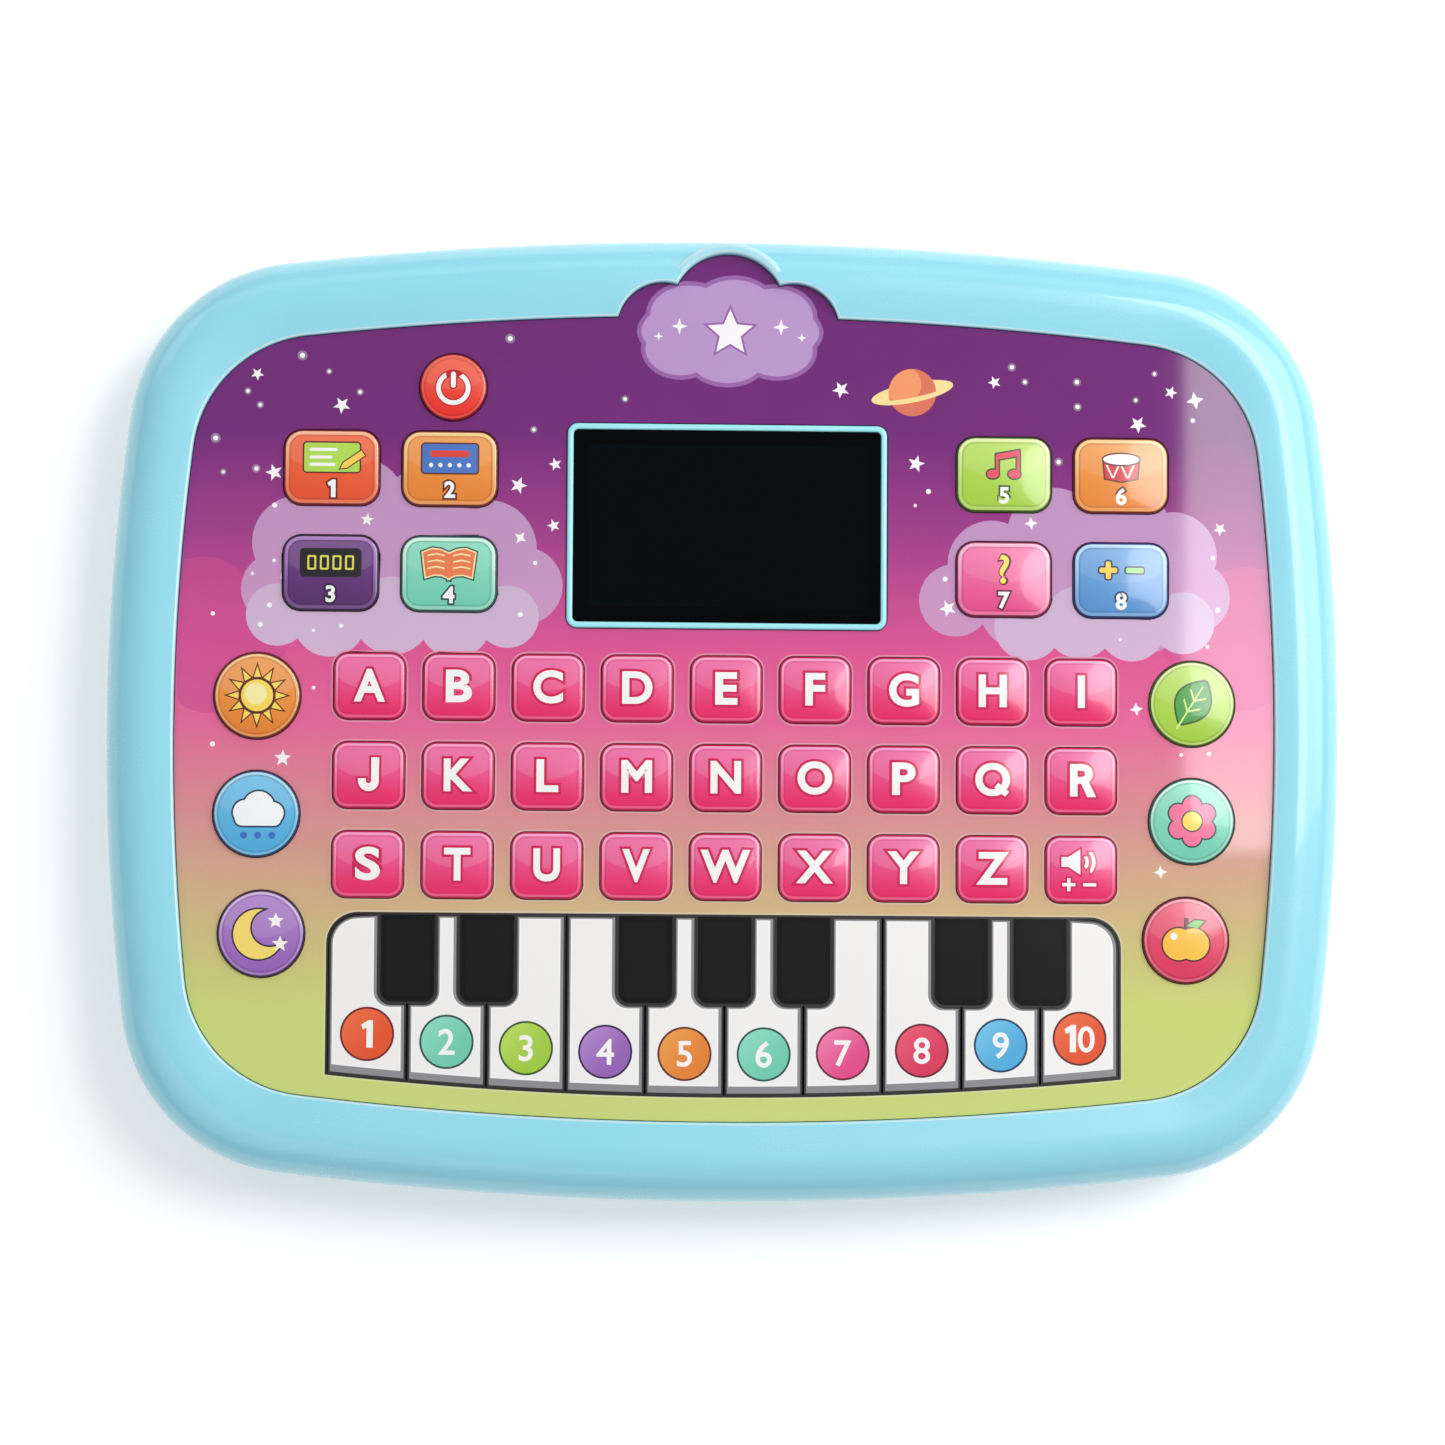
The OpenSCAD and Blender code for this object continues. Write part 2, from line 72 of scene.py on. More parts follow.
LETTER_ROW = 6.4  # how far the first row of letters lies above the middle of the face
FACE_Y = span("key_e")[0].y - LETTER_ROW
FILM_Z = top_of("face_panel")
CREST_Z = top_of("front_shell")
SPLIT_Z = 13.5  # where the two shells meet
FLOOR_Z = 1.2  # the underside, above the table by the height of the feet


# ---------------------------------------------------------------- plane outlines, in millimetres
def arc(centre, radius, start, end, steps):
    """Points along an arc in degrees, without its last one."""
    turns = [math.radians(start + (end - start) * i / steps) for i in range(steps)]
    return [(centre[0] + radius * math.cos(t), centre[1] + radius * math.sin(t)) for t in turns]


def meet(a, ra, b, rb, high):
    """The point where two circles cross, the one further along +Y if high."""
    dx, dy = b[0] - a[0], b[1] - a[1]
    d = math.hypot(dx, dy)
    along = (ra * ra - rb * rb + d * d) / 2 / d
    off = math.sqrt(ra * ra - along * along)
    mid = (a[0] + along * dx / d, a[1] + along * dy / d)
    found = [(mid[0] + s * off * dy / d, mid[1] - s * off * dx / d) for s in (1, -1)]
    return sorted(found, key=lambda p: p[1])[1 if high else 0]


def heading(centre, point):
    """Direction from a centre to a point, in degrees."""
    return math.degrees(math.atan2(point[1] - centre[1], point[0] - centre[0]))


def mirrored(up, down):
    """A whole ring from the upper right quarter and the lower one turned face up."""
    return (up + [(-x, y) for x, y in up[-2::-1]] + [(-x, -y) for x, y in down[1:]]
            + [(x, -y) for x, y in down[-2:0:-1]])


class Bowed:
    """A plate outline with bowed sides and round corners."""

    def __init__(self, half, top, bottom, side_r, end_r, corner_r):
        self.half, self.side_r, self.end_r, self.corner_r = half, side_r, end_r, corner_r
        self.ends = {1: top, -1: bottom}

    def parts(self, end):
        """Centres of the side, corner and end arcs of one quarter, and the turns where they join."""
        side = (self.half - self.side_r, 0)
        far = (0, self.ends[end] - self.end_r)
        found = [meet(side, self.side_r - self.corner_r, far, self.end_r - self.corner_r, h)
                 for h in (True, False)]
        corner = max(found, key=lambda p: p[0] + p[1])
        return side, corner, far, heading(side, corner), heading(far, corner)

    def quarter(self, end, inset, steps):
        """The ring from the +X side to the top, if end is 1, or to the bottom, turned face up."""
        side, corner, far, low, high = self.parts(end)
        return (arc(side, self.side_r - inset, 0, low, steps[0])
                + arc(corner, self.corner_r - inset, low, high, steps[1])
                + arc(far, self.end_r - inset, high, 90, steps[2]) + [(0, self.ends[end] - inset)])

    def ring(self, inset=0.0, steps=(12, 22, 16)):
        return mirrored(*(self.quarter(end, inset, steps) for end in (1, -1)))

    def depth(self, x, y):
        """How far inside the outline a point lies."""
        end = 1 if y >= 0 else -1
        side, corner, far, low, high = self.parts(end)
        p = (abs(x), abs(y))
        turn = heading(corner, p)
        if math.dist(p, corner) > 1e-6 and low <= turn <= high:
            return self.corner_r - math.dist(p, corner)
        return min(self.side_r - math.dist(p, side), self.end_r - math.dist(p, far))


CASE_MID, CASE_SIZE = span("back_shell")
CASE = Bowed(CASE_SIZE.x / 2, CASE_SIZE.y / 2, CASE_SIZE.y / 2, side_r=450, end_r=715, corner_r=34)
CASE_UP = CASE_MID.y - FACE_Y
RECESS_HALF = span("face_panel")[1].x / 2 + 0.15
RECESS = Bowed(RECESS_HALF, top=78.6, bottom=76.4, side_r=450, end_r=700, corner_r=24.5)
# the recess ends in a cloud at its top: one lobe in the middle and one at each side
LOBE, LOBE_R = (0, 79.5), 11.1
SIDE_LOBE, SIDE_LOBE_R = (12.5, 76), 9
WINDOW_Y = span("screen_window")[0].y - FACE_Y


def notched(inset=0.0):
    """Outline of the recess with its cloud notch, shrunk by inset."""
    side, corner, far, low, high = RECESS.parts(1)
    end_r, side_r, mid_r = RECESS.end_r - inset, SIDE_LOBE_R - inset, LOBE_R - inset
    first = max((meet(far, end_r, SIDE_LOBE, side_r, h) for h in (True, False)), key=lambda p: p[0])
    second = meet(SIDE_LOBE, side_r, LOBE, mid_r, True)
    right = arc(side, RECESS.side_r - inset, 0, low, 12)
    right += arc(corner, RECESS.corner_r - inset, low, high, 20)
    right += arc(far, end_r, high, heading(far, first), 12)
    right += arc(SIDE_LOBE, side_r, heading(SIDE_LOBE, first), heading(SIDE_LOBE, second), 14)
    right += arc(LOBE, mid_r, heading(LOBE, second), 90, 18) + [(0, LOBE[1] + mid_r)]
    return mirrored(right, RECESS.quarter(-1, inset, (12, 20, 14)))


def rounded(w, h, r, at=(0, 0), steps=7):
    """A rounded rectangle."""
    places = [(w / 2 - r, h / 2 - r, 0), (r - w / 2, h / 2 - r, 90),
              (r - w / 2, r - h / 2, 180), (w / 2 - r, r - h / 2, 270)]
    ring = []
    for x, y, turn in places:
        end = math.radians(turn + 90)
        ring += arc((x + at[0], y + at[1]), r, turn, turn + 90, steps)
        ring.append((x + at[0] + r * math.cos(end), y + at[1] + r * math.sin(end)))
    return ring


def circle(r, at=(0, 0), steps=40):
    return arc(at, r, 0, 360, steps)


def ellipse(a, b, at, steps=48):
    turns = [2 * math.pi * i / steps for i in range(steps)]
    return [(at[0] + a * math.cos(t), at[1] + b * math.sin(t)) for t in turns]


def moved(loop, dx=0.0, dy=0.0, turn=0.0, size=1.0):
    """A loop scaled, turned by degrees about the origin and then shifted."""
    c, s = math.cos(math.radians(turn)) * size, math.sin(math.radians(turn)) * size
    return [(x * c - y * s + dx, x * s + y * c + dy) for x, y in loop]


def star(points, r, waist, at=(0, 0), turn=90.0):
    """A star of radius r, whose inner corners lie at that share of it."""
    ring = []
    for i in range(points * 2):
        a = math.radians(turn + 180 * i / points)
        d = r * waist if i % 2 else r
        ring.append((at[0] + d * math.cos(a), at[1] + d * math.sin(a)))
    return ring


def shrunk(loop, reach):
    """A loop moved inwards; reach is a length, or a function of the outward direction."""
    ring = np.array(loop)
    before, after = np.roll(ring, 1, 0), np.roll(ring, -1, 0)
    area = np.sum(ring[:, 0] * after[:, 1] - ring[:, 1] * after[:, 0])
    out = []
    for p, a, b in zip(ring, before, after):
        sides = []
        for start, stop in ((a, p), (p, b)):
            t = stop - start
            n = np.array([t[1], -t[0]]) / (np.linalg.norm(t) + 1e-9) * (1 if area > 0 else -1)
            sides.append((n, reach(n) if callable(reach) else reach))
        (n1, d1), (n2, d2) = sides
        cross = n1[0] * n2[1] - n1[1] * n2[0]
        if abs(cross) < 0.15:  # nearly straight on: the two offsets' mean
            step = (n1 + n2) / np.linalg.norm(n1 + n2) * (d1 + d2) / 2
        else:
            step = np.array([d1 * n2[1] - d2 * n1[1], d2 * n1[0] - d1 * n2[0]]) / cross
        out.append(tuple(p - step))
    return out


def inside(points, loops):
    """Which points lie inside the loops, by the even-odd rule."""
    hit = np.zeros(len(points), bool)
    x, y = points[:, 0], points[:, 1]
    for loop in loops:
        ring = np.array(loop)
        nxt = np.roll(ring, -1, 0)
        for (x0, y0), (x1, y1) in zip(ring, nxt):
            if y0 == y1:
                continue
            crossing = ((y0 > y) != (y1 > y)) & (x < (x1 - x0) * (y - y0) / (y1 - y0) + x0)
            hit ^= crossing
    return hit


CAPITAL_SHARE = 0.729  # height of a capital in the built-in font, as a share of its size
_glyphs = {}


def glyph(text, tall, weight=0.0):
    """Outlines of a character, its capital height given, its strokes thickened by weight."""
    key = (text, round(tall, 3), round(weight, 3))
    if key not in _glyphs:
        curve = bpy.data.curves.new("glyph", "FONT")
        curve.body = text
        curve.size = tall / CAPITAL_SHARE
        curve.align_x = "CENTER"
        curve.offset = weight
        curve.resolution_u = 6
        holder = bpy.data.objects.new("glyph", curve)
        bpy.context.scene.collection.objects.link(holder)
        mesh = bpy.data.meshes.new_from_object(
            holder.evaluated_get(bpy.context.evaluated_depsgraph_get()))
        _glyphs[key] = borders(mesh)
        bpy.data.objects.remove(holder)
        bpy.data.meshes.remove(mesh)
        bpy.data.curves.remove(curve)
    return [list(loop) for loop in _glyphs[key]]


ONE = [(0.0, 0.0), (0.2, 0.0), (0.2, 1.0), (0.05, 1.0), (-0.2, 0.84), (-0.15, 0.7), (0.0, 0.77)]
ONE_WIDE, DIGIT_WIDE = 0.5, 0.72


def figures(text, tall, weight=0.0):
    """Outlines of a number; its ones get a flag, which the built-in font lacks."""
    loops, pen = [], 0.0
    for mark in text:
        if mark == "1":
            wide, shapes = ONE_WIDE * tall, [shrunk(moved(ONE, size=tall), -weight)]
        else:
            wide, shapes = DIGIT_WIDE * tall, glyph(mark, tall, weight)
        loops += [moved(shape, pen + wide / 2) for shape in shapes]
        pen += wide
    return loops


def borders(mesh):
    """The open borders of a flat mesh, as loops."""
    used = {}
    for face in mesh.polygons:
        for pair in face.edge_keys:
            used[pair] = used.get(pair, 0) + 1
    spot = {}
    for v in mesh.vertices:
        spot[v.index] = (round(v.co.x, 4), round(v.co.y, 4))
    link = {}
    for pair, count in used.items():
        if count == 1:
            a, b = spot[pair[0]], spot[pair[1]]
            link.setdefault(a, []).append(b)
            link.setdefault(b, []).append(a)
    loops, seen = [], set()
    for start in link:
        if start in seen:
            continue
        loop, here, last = [], start, None
        while here not in seen:
            seen.add(here)
            loop.append(here)
            ahead = [p for p in link[here] if p != last and p not in seen]
            if not ahead:
                break
            here, last = ahead[0], here
        loops.append(loop)
    return [loop for loop in loops if len(loop) > 2]


def middle_of(loops):
    """The middle of the box round some loops."""
    spots = np.array([p for loop in loops for p in loop])
    return (spots.min(0) + spots.max(0)) / 2


def shifted(loops, at, middle):
    """Loops moved so that their middle comes to a place."""
    return [moved(loop, at[0] - middle[0], at[1] - middle[1]) for loop in loops]


# ---------------------------------------------------------------- meshes
def skin(rows, n):
    """Faces between rings of n points each."""
    return [[j * n + i, j * n + (i + 1) % n, (j + 1) * n + (i + 1) % n, (j + 1) * n + i]
            for j in range(rows - 1) for i in range(n)]


class Sheet:
    """Collects points and faces in millimetres, and turns them into one piece."""

    def __init__(self):
        self.points, self.faces, self.paint, self.extra = [], [], [], []

    def add(self, points, faces, paint=0, extra=0.0):
        base = len(self.points)
        self.points += points
        self.extra += extra if isinstance(extra, list) else [extra] * len(points)
        self.faces += [[base + i for i in face] for face in faces]
        self.paint += paint if isinstance(paint, list) else [paint] * len(faces)

    def strip(self, low, high, paint=0, extra=(0.0, 0.0)):
        """Faces between two rings that run anticlockwise, low inside or below high's outer side."""
        n = len(low)
        faces = [[i, (i + 1) % n, n + (i + 1) % n, n + i] for i in range(n)]
        self.add(list(low) + list(high), faces, paint, [extra[0]] * n + [extra[1]] * n)

    def wall(self, loop, low, high, paint=0):
        """An upright strip between two levels; it faces inwards if low is the higher one."""
        self.strip(raised(loop, low), raised(loop, high), paint)

    def stack(self, rings, paint=0):
        """A skin through rings, sharing their points, facing outwards when they climb."""
        self.add([p for ring in rings for p in ring], skin(len(rings), len(rings[0])), paint)

    def flat(self, bound, height, holes=(), rings=(), dots=(), prints=(), depth=None, down=False):
        """A sheet cut by triangles along its bound, its holes and what is printed on it.

        The height is a level, or a function of x and y; prints are (paint, loops), the last one on top;
        depth(x, y) goes into the inset attribute; a sheet that is down faces downwards.
        """
        loops = [bound, *holes, *rings, *[loop for _, group in prints for loop in group]]
        spots, edges = [], []
        for loop in loops:
            base = len(spots)
            spots += [Vector(p) for p in loop]
            edges += [(base + i, base + (i + 1) % len(loop)) for i in range(len(loop))]
        spots += [Vector(p) for p in dots]
        spots, _, tris, *_ = delaunay_2d_cdt(spots, edges, [], 0, 1e-4)
        spots = np.array([tuple(p) for p in spots])
        tris = np.array([t for t in tris if len(t) == 3])
        mids = spots[tris].mean(1)
        keep = inside(mids, [bound])
        for hole in holes:
            keep &= ~inside(mids, [hole])
        tris, mids = tris[keep], mids[keep]
        colours = np.full(len(tris), 0)
        for number, group in prints:
            colours[inside(mids, group)] = number
        a, b, c = (spots[tris[:, k]] for k in range(3))
        flip = np.cross(b - a, c - a) < 0
        if down:
            flip = ~flip
        tris[flip] = tris[flip][:, ::-1]
        points = [(x, y, height(x, y) if callable(height) else height) for x, y in spots]
        self.add(points, tris.tolist(), colours.tolist(),
                 [depth(x, y) for x, y in spots] if depth else 0.0)

    def piece(self, name, materials, shift=(0, 0), smooth=40.0, uv=None, facing=None):
        """The sheet as an object; facing(x, y) gives a curved sheet's direction, for an even shine."""
        mesh = bpy.data.meshes.new(name)
        spots = [((x + shift[0]) * MM, (y + shift[1]) * MM, z * MM) for x, y, z in self.points]
        mesh.from_pydata(spots, [], self.faces)
        for material in materials:
            mesh.materials.append(material)
        mesh.polygons.foreach_set("material_index", self.paint)
        layer = mesh.attributes.new("inset", "FLOAT", "POINT")
        layer.data.foreach_set("value", self.extra)
        joined(mesh)
        if uv:
            spread(mesh, uv)
        smoothed(mesh, smooth)
        if facing:
            mesh.normals_split_custom_set_from_vertices(
                [facing(v.co.x / MM - shift[0], v.co.y / MM - shift[1]) for v in mesh.vertices])
        made = bpy.data.objects.new(name, mesh)
        bpy.context.scene.collection.objects.link(made)
        return made


def smoothed(mesh, degrees):
    """Shades a mesh smooth, apart from the edges that turn by more than this."""
    mesh.set_sharp_from_angle(angle=math.radians(degrees))
    mesh.polygons.foreach_set("use_smooth", [True] * len(mesh.polygons))


def joined(mesh):
    """Joins points that share a place and drops what no face uses."""
    work = bmesh.new()
    work.from_mesh(mesh)
    bmesh.ops.remove_doubles(work, verts=work.verts, dist=0.004 * MM)
    bmesh.ops.delete(work, geom=[v for v in work.verts if not v.link_faces], context="VERTS")
    work.to_mesh(mesh)
    work.free()


def spread(mesh, box):
    """Flat UV over a box in millimetres: (x0, y0, x1, y1) becomes 0 to 1 each way."""
    x0, y0, x1, y1 = box
    layer = mesh.uv_layers.new(name="UVMap")
    for corner in mesh.loops:
        p = mesh.vertices[corner.vertex_index].co / MM
        layer.data[corner.index].uv = ((p.x - x0) / (x1 - x0), (p.y - y0) / (y1 - y0))


def raised(loop, z):
    return [(x, y, z) for x, y in loop]


def lathe(profile, at, steps=32):
    """Points and faces of a turned form; the profile is (radius, level) from its foot to its top."""
    points = [p for r, z in profile for p in raised(ellipse(r, r, at, steps), z)]
    faces = skin(len(profile), steps)
    faces.append(list(reversed(range(steps))))
    faces.append([(len(profile) - 1) * steps + i for i in range(steps)])
    return points, faces


def ridden(piece, body, slot, *nodes):
    """Says which body carries a piece and which CAD nodes it stands for, and hides those nodes; slot is not
    used.
    """
    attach(piece, body)
    if nodes:
        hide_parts(*nodes)


# ---------------------------------------------------------------- colours and shader nodes
def rgb(red, green, blue):
    """Screen colour from 0 to 255, as scene colour."""
    return tuple(c / 255 / 12.92 if c <= 10 else ((c / 255 + 0.055) / 1.055) ** 2.4
                 for c in (red, green, blue)) + (1.0,)


def mixed(a, b, share):
    return tuple(x + (y - x) * share for x, y in zip(a, b))


INK = rgb(38, 30, 34)
WHITE = rgb(250, 250, 250)
PURE = (1.0, 1.0, 1.0, 1.0)


class Wire:
    """An output socket that takes part in sums."""

    def __init__(self, net, socket):
        self.net, self.socket = net, socket

    def __add__(self, other):
        return self.net.maths("ADD", self, other)

    def __mul__(self, other):
        return self.net.maths("MULTIPLY", self, other)

    def __sub__(self, other):
        return self.net.maths("SUBTRACT", self, other)

    def __rsub__(self, other):
        return self.net.maths("SUBTRACT", other, self)

    def __truediv__(self, other):
        return self.net.maths("DIVIDE", self, other)

    def __pow__(self, other):
        return self.net.maths("POWER", self, other)

    __radd__, __rmul__ = __add__, __mul__

    def between(self, low, high):
        """0 below low, 1 above high, and a smooth step from one to the other."""
        made = self.net.node("MapRange", {"interpolation_type": "SMOOTHSTEP"}, {0: self, 1: low, 2: high})
        return Wire(self.net, made.outputs[0])


class Net:
    """The nodes of one material."""

    def __init__(self, name):
        self.material = bpy.data.materials.new(name)
        self.material.use_nodes = True
        self.tree = self.material.node_tree
        self.tree.nodes.clear()
        self.coords = self.node("TexCoord").outputs["Object"]

    def node(self, kind, settings=None, inputs=None):
        """A shader node, with its settings made first and then its inputs linked or set."""
        made = self.tree.nodes.new("ShaderNode" + kind)
        for name, value in (settings or {}).items():
            setattr(made, name, value)
        for name, value in (inputs or {}).items():
            if isinstance(value, Wire):
                self.tree.links.new(value.socket, made.inputs[name])
            elif isinstance(value, bpy.types.NodeSocket):
                self.tree.links.new(value, made.inputs[name])
            else:
                made.inputs[name].default_value = value
        return made

    def maths(self, what, first, second=0.0):
        return Wire(self, self.node("Math", {"operation": what}, {0: first, 1: second}).outputs[0])

    def mix(self, share, first, second, how="MIX"):
        made = self.node("Mix", {"data_type": "RGBA", "blend_type": how}, {0: share, 6: first, 7: second})
        return Wire(self, made.outputs[2])

    def noise(self, scale, detail=2.0, rough=0.5):
        made = self.node("TexNoise", {}, {
            "Vector": self.coords, "Scale": scale, "Detail": detail, "Roughness": rough})
        return Wire(self, made.outputs[0])

    def place(self, source="Object"):
        """The three coordinates."""
        made = self.node("SeparateXYZ", {}, {0: self.node("TexCoord").outputs[source]})
        return [Wire(self, made.outputs[i]) for i in range(3)]

    def inset(self):
        """How far inside a key's edge a point lies, or how strong the painted highlight is on an edge of the
        shells.
        """
        return Wire(self, self.node("Attribute", {"attribute_name": "inset"}).outputs["Fac"])

    def ramp(self, along, stops):
        """Colours along a number; stops are (position, colour)."""
        made = self.node("ValToRGB", {}, {0: along})
        marks = made.color_ramp.elements
        marks[0].position, marks[0].color = stops[0]
        marks[1].position, marks[1].color = stops[-1]
        for position, colour in stops[1:-1]:
            marks.new(position).color = colour
        return Wire(self, made.outputs[0])

    def finish(self, colour, rough=0.3, spread=0.06, grain=0.012, coat=0.0, metal=0.0, light=0.5, wave=0.0):
        """Moulded or printed surface: a little uneven in colour and gloss.

        Spread is how much the gloss varies, grain the depth of the fine bumps in millimetres, wave the
        share of slow waves in them, and light the strength of the highlights.
        """
        cloudy = self.noise(45.0, 3.0)
        speck = self.noise(3500.0, 2.0, 0.6)
        tint = self.mix(cloudy.between(0.3, 0.7) * 0.05, colour, PURE, "SOFT_LIGHT")
        gloss = (cloudy - 0.5) * spread + (speck - 0.5) * spread + rough
        height = speck * 0.7
        if wave:
            height = height + self.noise(60.0, 1.0) * wave
        bump = self.node("Bump", {}, {"Strength": 1.0, "Distance": grain * MM, "Height": height})
        shade = self.node("BsdfPrincipled", {}, {
            "Base Color": tint, "Roughness": gloss, "Normal": bump.outputs[0], "Metallic": metal,
            "Coat Weight": coat, "Coat Roughness": 0.04, "Specular IOR Level": light})
        self.node("OutputMaterial", {}, {0: shade.outputs[0]})
        return self.material


_made = {}


def once(name, make):
    """One material per name."""
    if name not in _made:
        _made[name] = make(Net(name))
    return _made[name]


def plain(name, colour, rough=0.22, coat=0.5, **more):
    return once(name, lambda net: net.finish(colour, rough, coat=coat, **more))


def choices(group):
    """The values that the sidebar holds for one group of pieces."""
    return getattr(bpy.context.scene, "toy_" + group)


def paint_of(group, name):
    return tuple(getattr(choices(group), name))


def length_of(group, name):
    """A length from the sidebar, in millimetres."""
    return round(getattr(choices(group), name) / MM, 4)


def shell_plastic():
    """Moulded shells, with faint flow marks, darker worn spots, and a painted highlight on the recess lip and
    the collar's edges, where the inset attribute is set.
    """
    colour = paint_of("housing", "shell")

    def make(net):
        worn = net.noise(700.0, 3.0).between(0.62, 0.75)
        body = net.mix(net.noise(14.0, 2.0), colour, mixed(colour, WHITE, 0.06))
        body = net.mix(worn * 0.12, body, mixed(colour, INK, 0.14))
        # painted highlight: the inset attribute lightens the lip of the recess and the collar's edges towards
        # white
        body = net.mix(net.inset() * 0.8, body, mixed(colour, WHITE, 0.6))
        return net.finish(body, rough=0.26, spread=0.08, grain=0.008, coat=0.6, wave=1.5)
    return once("shell_plastic", make)


def frame_plastic():
    colour = paint_of("housing", "frame")

    def make(net):
        body = net.mix(net.noise(90.0, 2.0), colour, mixed(colour, WHITE, 0.2))
        return net.finish(body, rough=0.24, coat=0.3)
    return once("frame_plastic", make)


def sky_stops():
    """Places and colours of the sky, from night at the top to meadow at the bottom."""
    night, dusk, meadow = (paint_of("panel", name) for name in ("night", "dusk", "meadow"))
    return [(0.0, mixed(night, INK, 0.08)), (0.15, night), (0.28, rgb(161, 60, 138)),
            (0.42, rgb(223, 86, 147)), (0.51, dusk), (0.65, rgb(216, 152, 145)),
            (0.8, rgb(207, 199, 127)), (0.86, meadow), (1.0, mixed(meadow, WHITE, 0.02))]


def sky(net):
    """The panel's printed sky: the night at the recess's top edge, the meadow at its bottom one."""
    drift = (net.noise(18.0, 2.0) - 0.5) * 0.03
    top, tall = (FACE_Y + RECESS.ends[1]) * MM, (RECESS.ends[1] + RECESS.ends[-1]) * MM
    return net.ramp((top - net.place()[1]) / tall + drift, sky_stops())


def film(name, tint=None, share=0.0):
    """The printed film, with its sky mixed towards a tint."""
    def make(net):
        colour = sky(net)
        dots = net.noise(2600.0, 1.0).between(0.35, 0.65)
        colour = net.mix(dots * 0.05, colour, WHITE, "SOFT_LIGHT")
        if tint:
            colour = net.mix(share, colour, tint)
        return net.finish(colour, rough=0.3, spread=0.05, grain=0.004, coat=1.0, wave=1.0, light=0.0)
    return once(name, make)


def key_cap(name, top, low, edge, halo, gloss=0.12, border=0.72):
    """A printed key: dark outline, light border, then a body that is lighter under a gloss bubble."""
    def make(net):
        u, v, _ = net.place("UV")
        depth = net.inset()
        body = net.mix(v.between(0.0, 1.0), low, top)
        far = ((u - 0.5) * (u - 0.5) * 0.8 + (v - 1.02) * (v - 1.02)) ** 0.5
        bubble = 1.0 - far.between(0.555, 0.575)
        body = net.mix(bubble * gloss, body, WHITE)
        rim = net.mix(v.between(0.1, 0.95), mixed(low, halo, 0.25), halo)
        inner = net.mix(0.3, body, edge)
        colour = net.mix(depth.between(border + 0.3, border + 0.55), inner, body)
        colour = net.mix(depth.between(border, border + 0.2), rim, colour)
        colour = net.mix(depth.between(0.3, 0.44), edge, colour)
        return net.finish(colour, rough=0.2, spread=0.04, grain=0.006, coat=0.4)
    return once(name, make)


# ---------------------------------------------------------------- keys
SKIRT = 1.6  # how far a key's side goes down below the film


def cap(node, outline, prints, materials, shoulder=0.5, spacing=1.1, rings=(0.12, 0.3, 0.5, 1.2)):
    """A domed key over a node: outline(inset) gives its rings, prints are (paint, loops)."""
    here, top = span(node)[0], top_of(node)
    bound = np.array(outline(0.0))
    half = np.abs(bound).max(0)
    crown, bend = 0.5, 0.85  # the dome's height, and how much of it each axis takes

    def depth(x, y):
        near = bound - np.array([x, y])
        after = np.roll(bound, -1, 0) - bound
        share = np.clip(-(near * after).sum(1) / ((after * after).sum(1) + 1e-12), 0, 1)
        return float(np.hypot(*(near + after * share[:, None]).T).min())

    def height(x, y):
        short = max(0.0, shoulder - depth(x, y))
        round_off = shoulder - math.sqrt(max(0.0, shoulder ** 2 - short ** 2))
        fall = 1 - (1 - (x / half[0]) ** 2 * bend) * (1 - (y / half[1]) ** 2 * bend)
        return top - crown * fall - round_off

    def facing(x, y):
        step = 0.03
        if depth(x, y) < 2 * step:  # the very edge is measured just inside
            x, y = np.array([x, y]) * (1 - 3 * step / math.hypot(x, y))
        slope_x = (height(x + step, y) - height(x - step, y)) / (2 * step)
        slope_y = (height(x, y + step) - height(x, y - step)) / (2 * step)
        return Vector((-slope_x, -slope_y, 1.0)).normalized()

    sheet = Sheet()
    across, along = (np.arange(-h + 0.7, h - 0.6, spacing) for h in half)
    grid = [(x, y) for x in across for y in along if depth(x, y) > 1.45]
    grid = [p for p, ok in zip(grid, inside(np.array(grid), [outline(0.6)])) if ok]
    sheet.flat(outline(0.0), height, rings=[outline(i) for i in rings], dots=grid, prints=prints, depth=depth)
    edge = [(x, y, height(x, y)) for x, y in outline(0.0)]
    sheet.strip(raised(outline(0.0), FILM_Z - SKIRT), edge)
    box = (here.x - half[0], here.y - half[1], here.x + half[0], here.y + half[1])
    return sheet.piece(node + "_cap", materials, (here.x, here.y), uv=box, facing=facing)


def box_outline(w, h, r):
    return lambda inset: rounded(w - 2 * inset, h - 2 * inset, max(r - inset, 0.35), steps=6)


def disc_outline(r):
    return lambda inset: circle(r - inset, steps=56)


# width, height and corner radius of the keys with corners, and radius of the round ones
LETTER_SIZE = (13.7, 12.8, 2.8)
MODE_SIZE = (18.4, 14.6, 3.6)
PICTURE_R, POWER_R = 8.3, 6.5

# the paints of what is printed on a key; 0 is the key's own
LINE, PALE, MAIN, EXTRA = 1, 2, 3, 4


def filled(paint, shapes):
    return [(paint, [shape]) for shape in shapes]


def lined(shapes, line):
    """Shapes grown by the width of their dark line, to go under the shapes themselves."""
    return [(LINE, [shrunk(shape, -line)]) for shape in shapes]


def outlined(shape, paint, line=0.3):
    return lined([shape], line) + filled(paint, [shape])


# capitals whose proportions differ from those of the built-in font
STRETCH = {"a": 0.93, "b": 1.12, "e": 1.1, "f": 1.06, "k": 0.94, "l": 1.06, "p": 1.08, "r": 1.05,
           "s": 1.25, "t": 0.94, "u": 0.93, "v": 0.9}

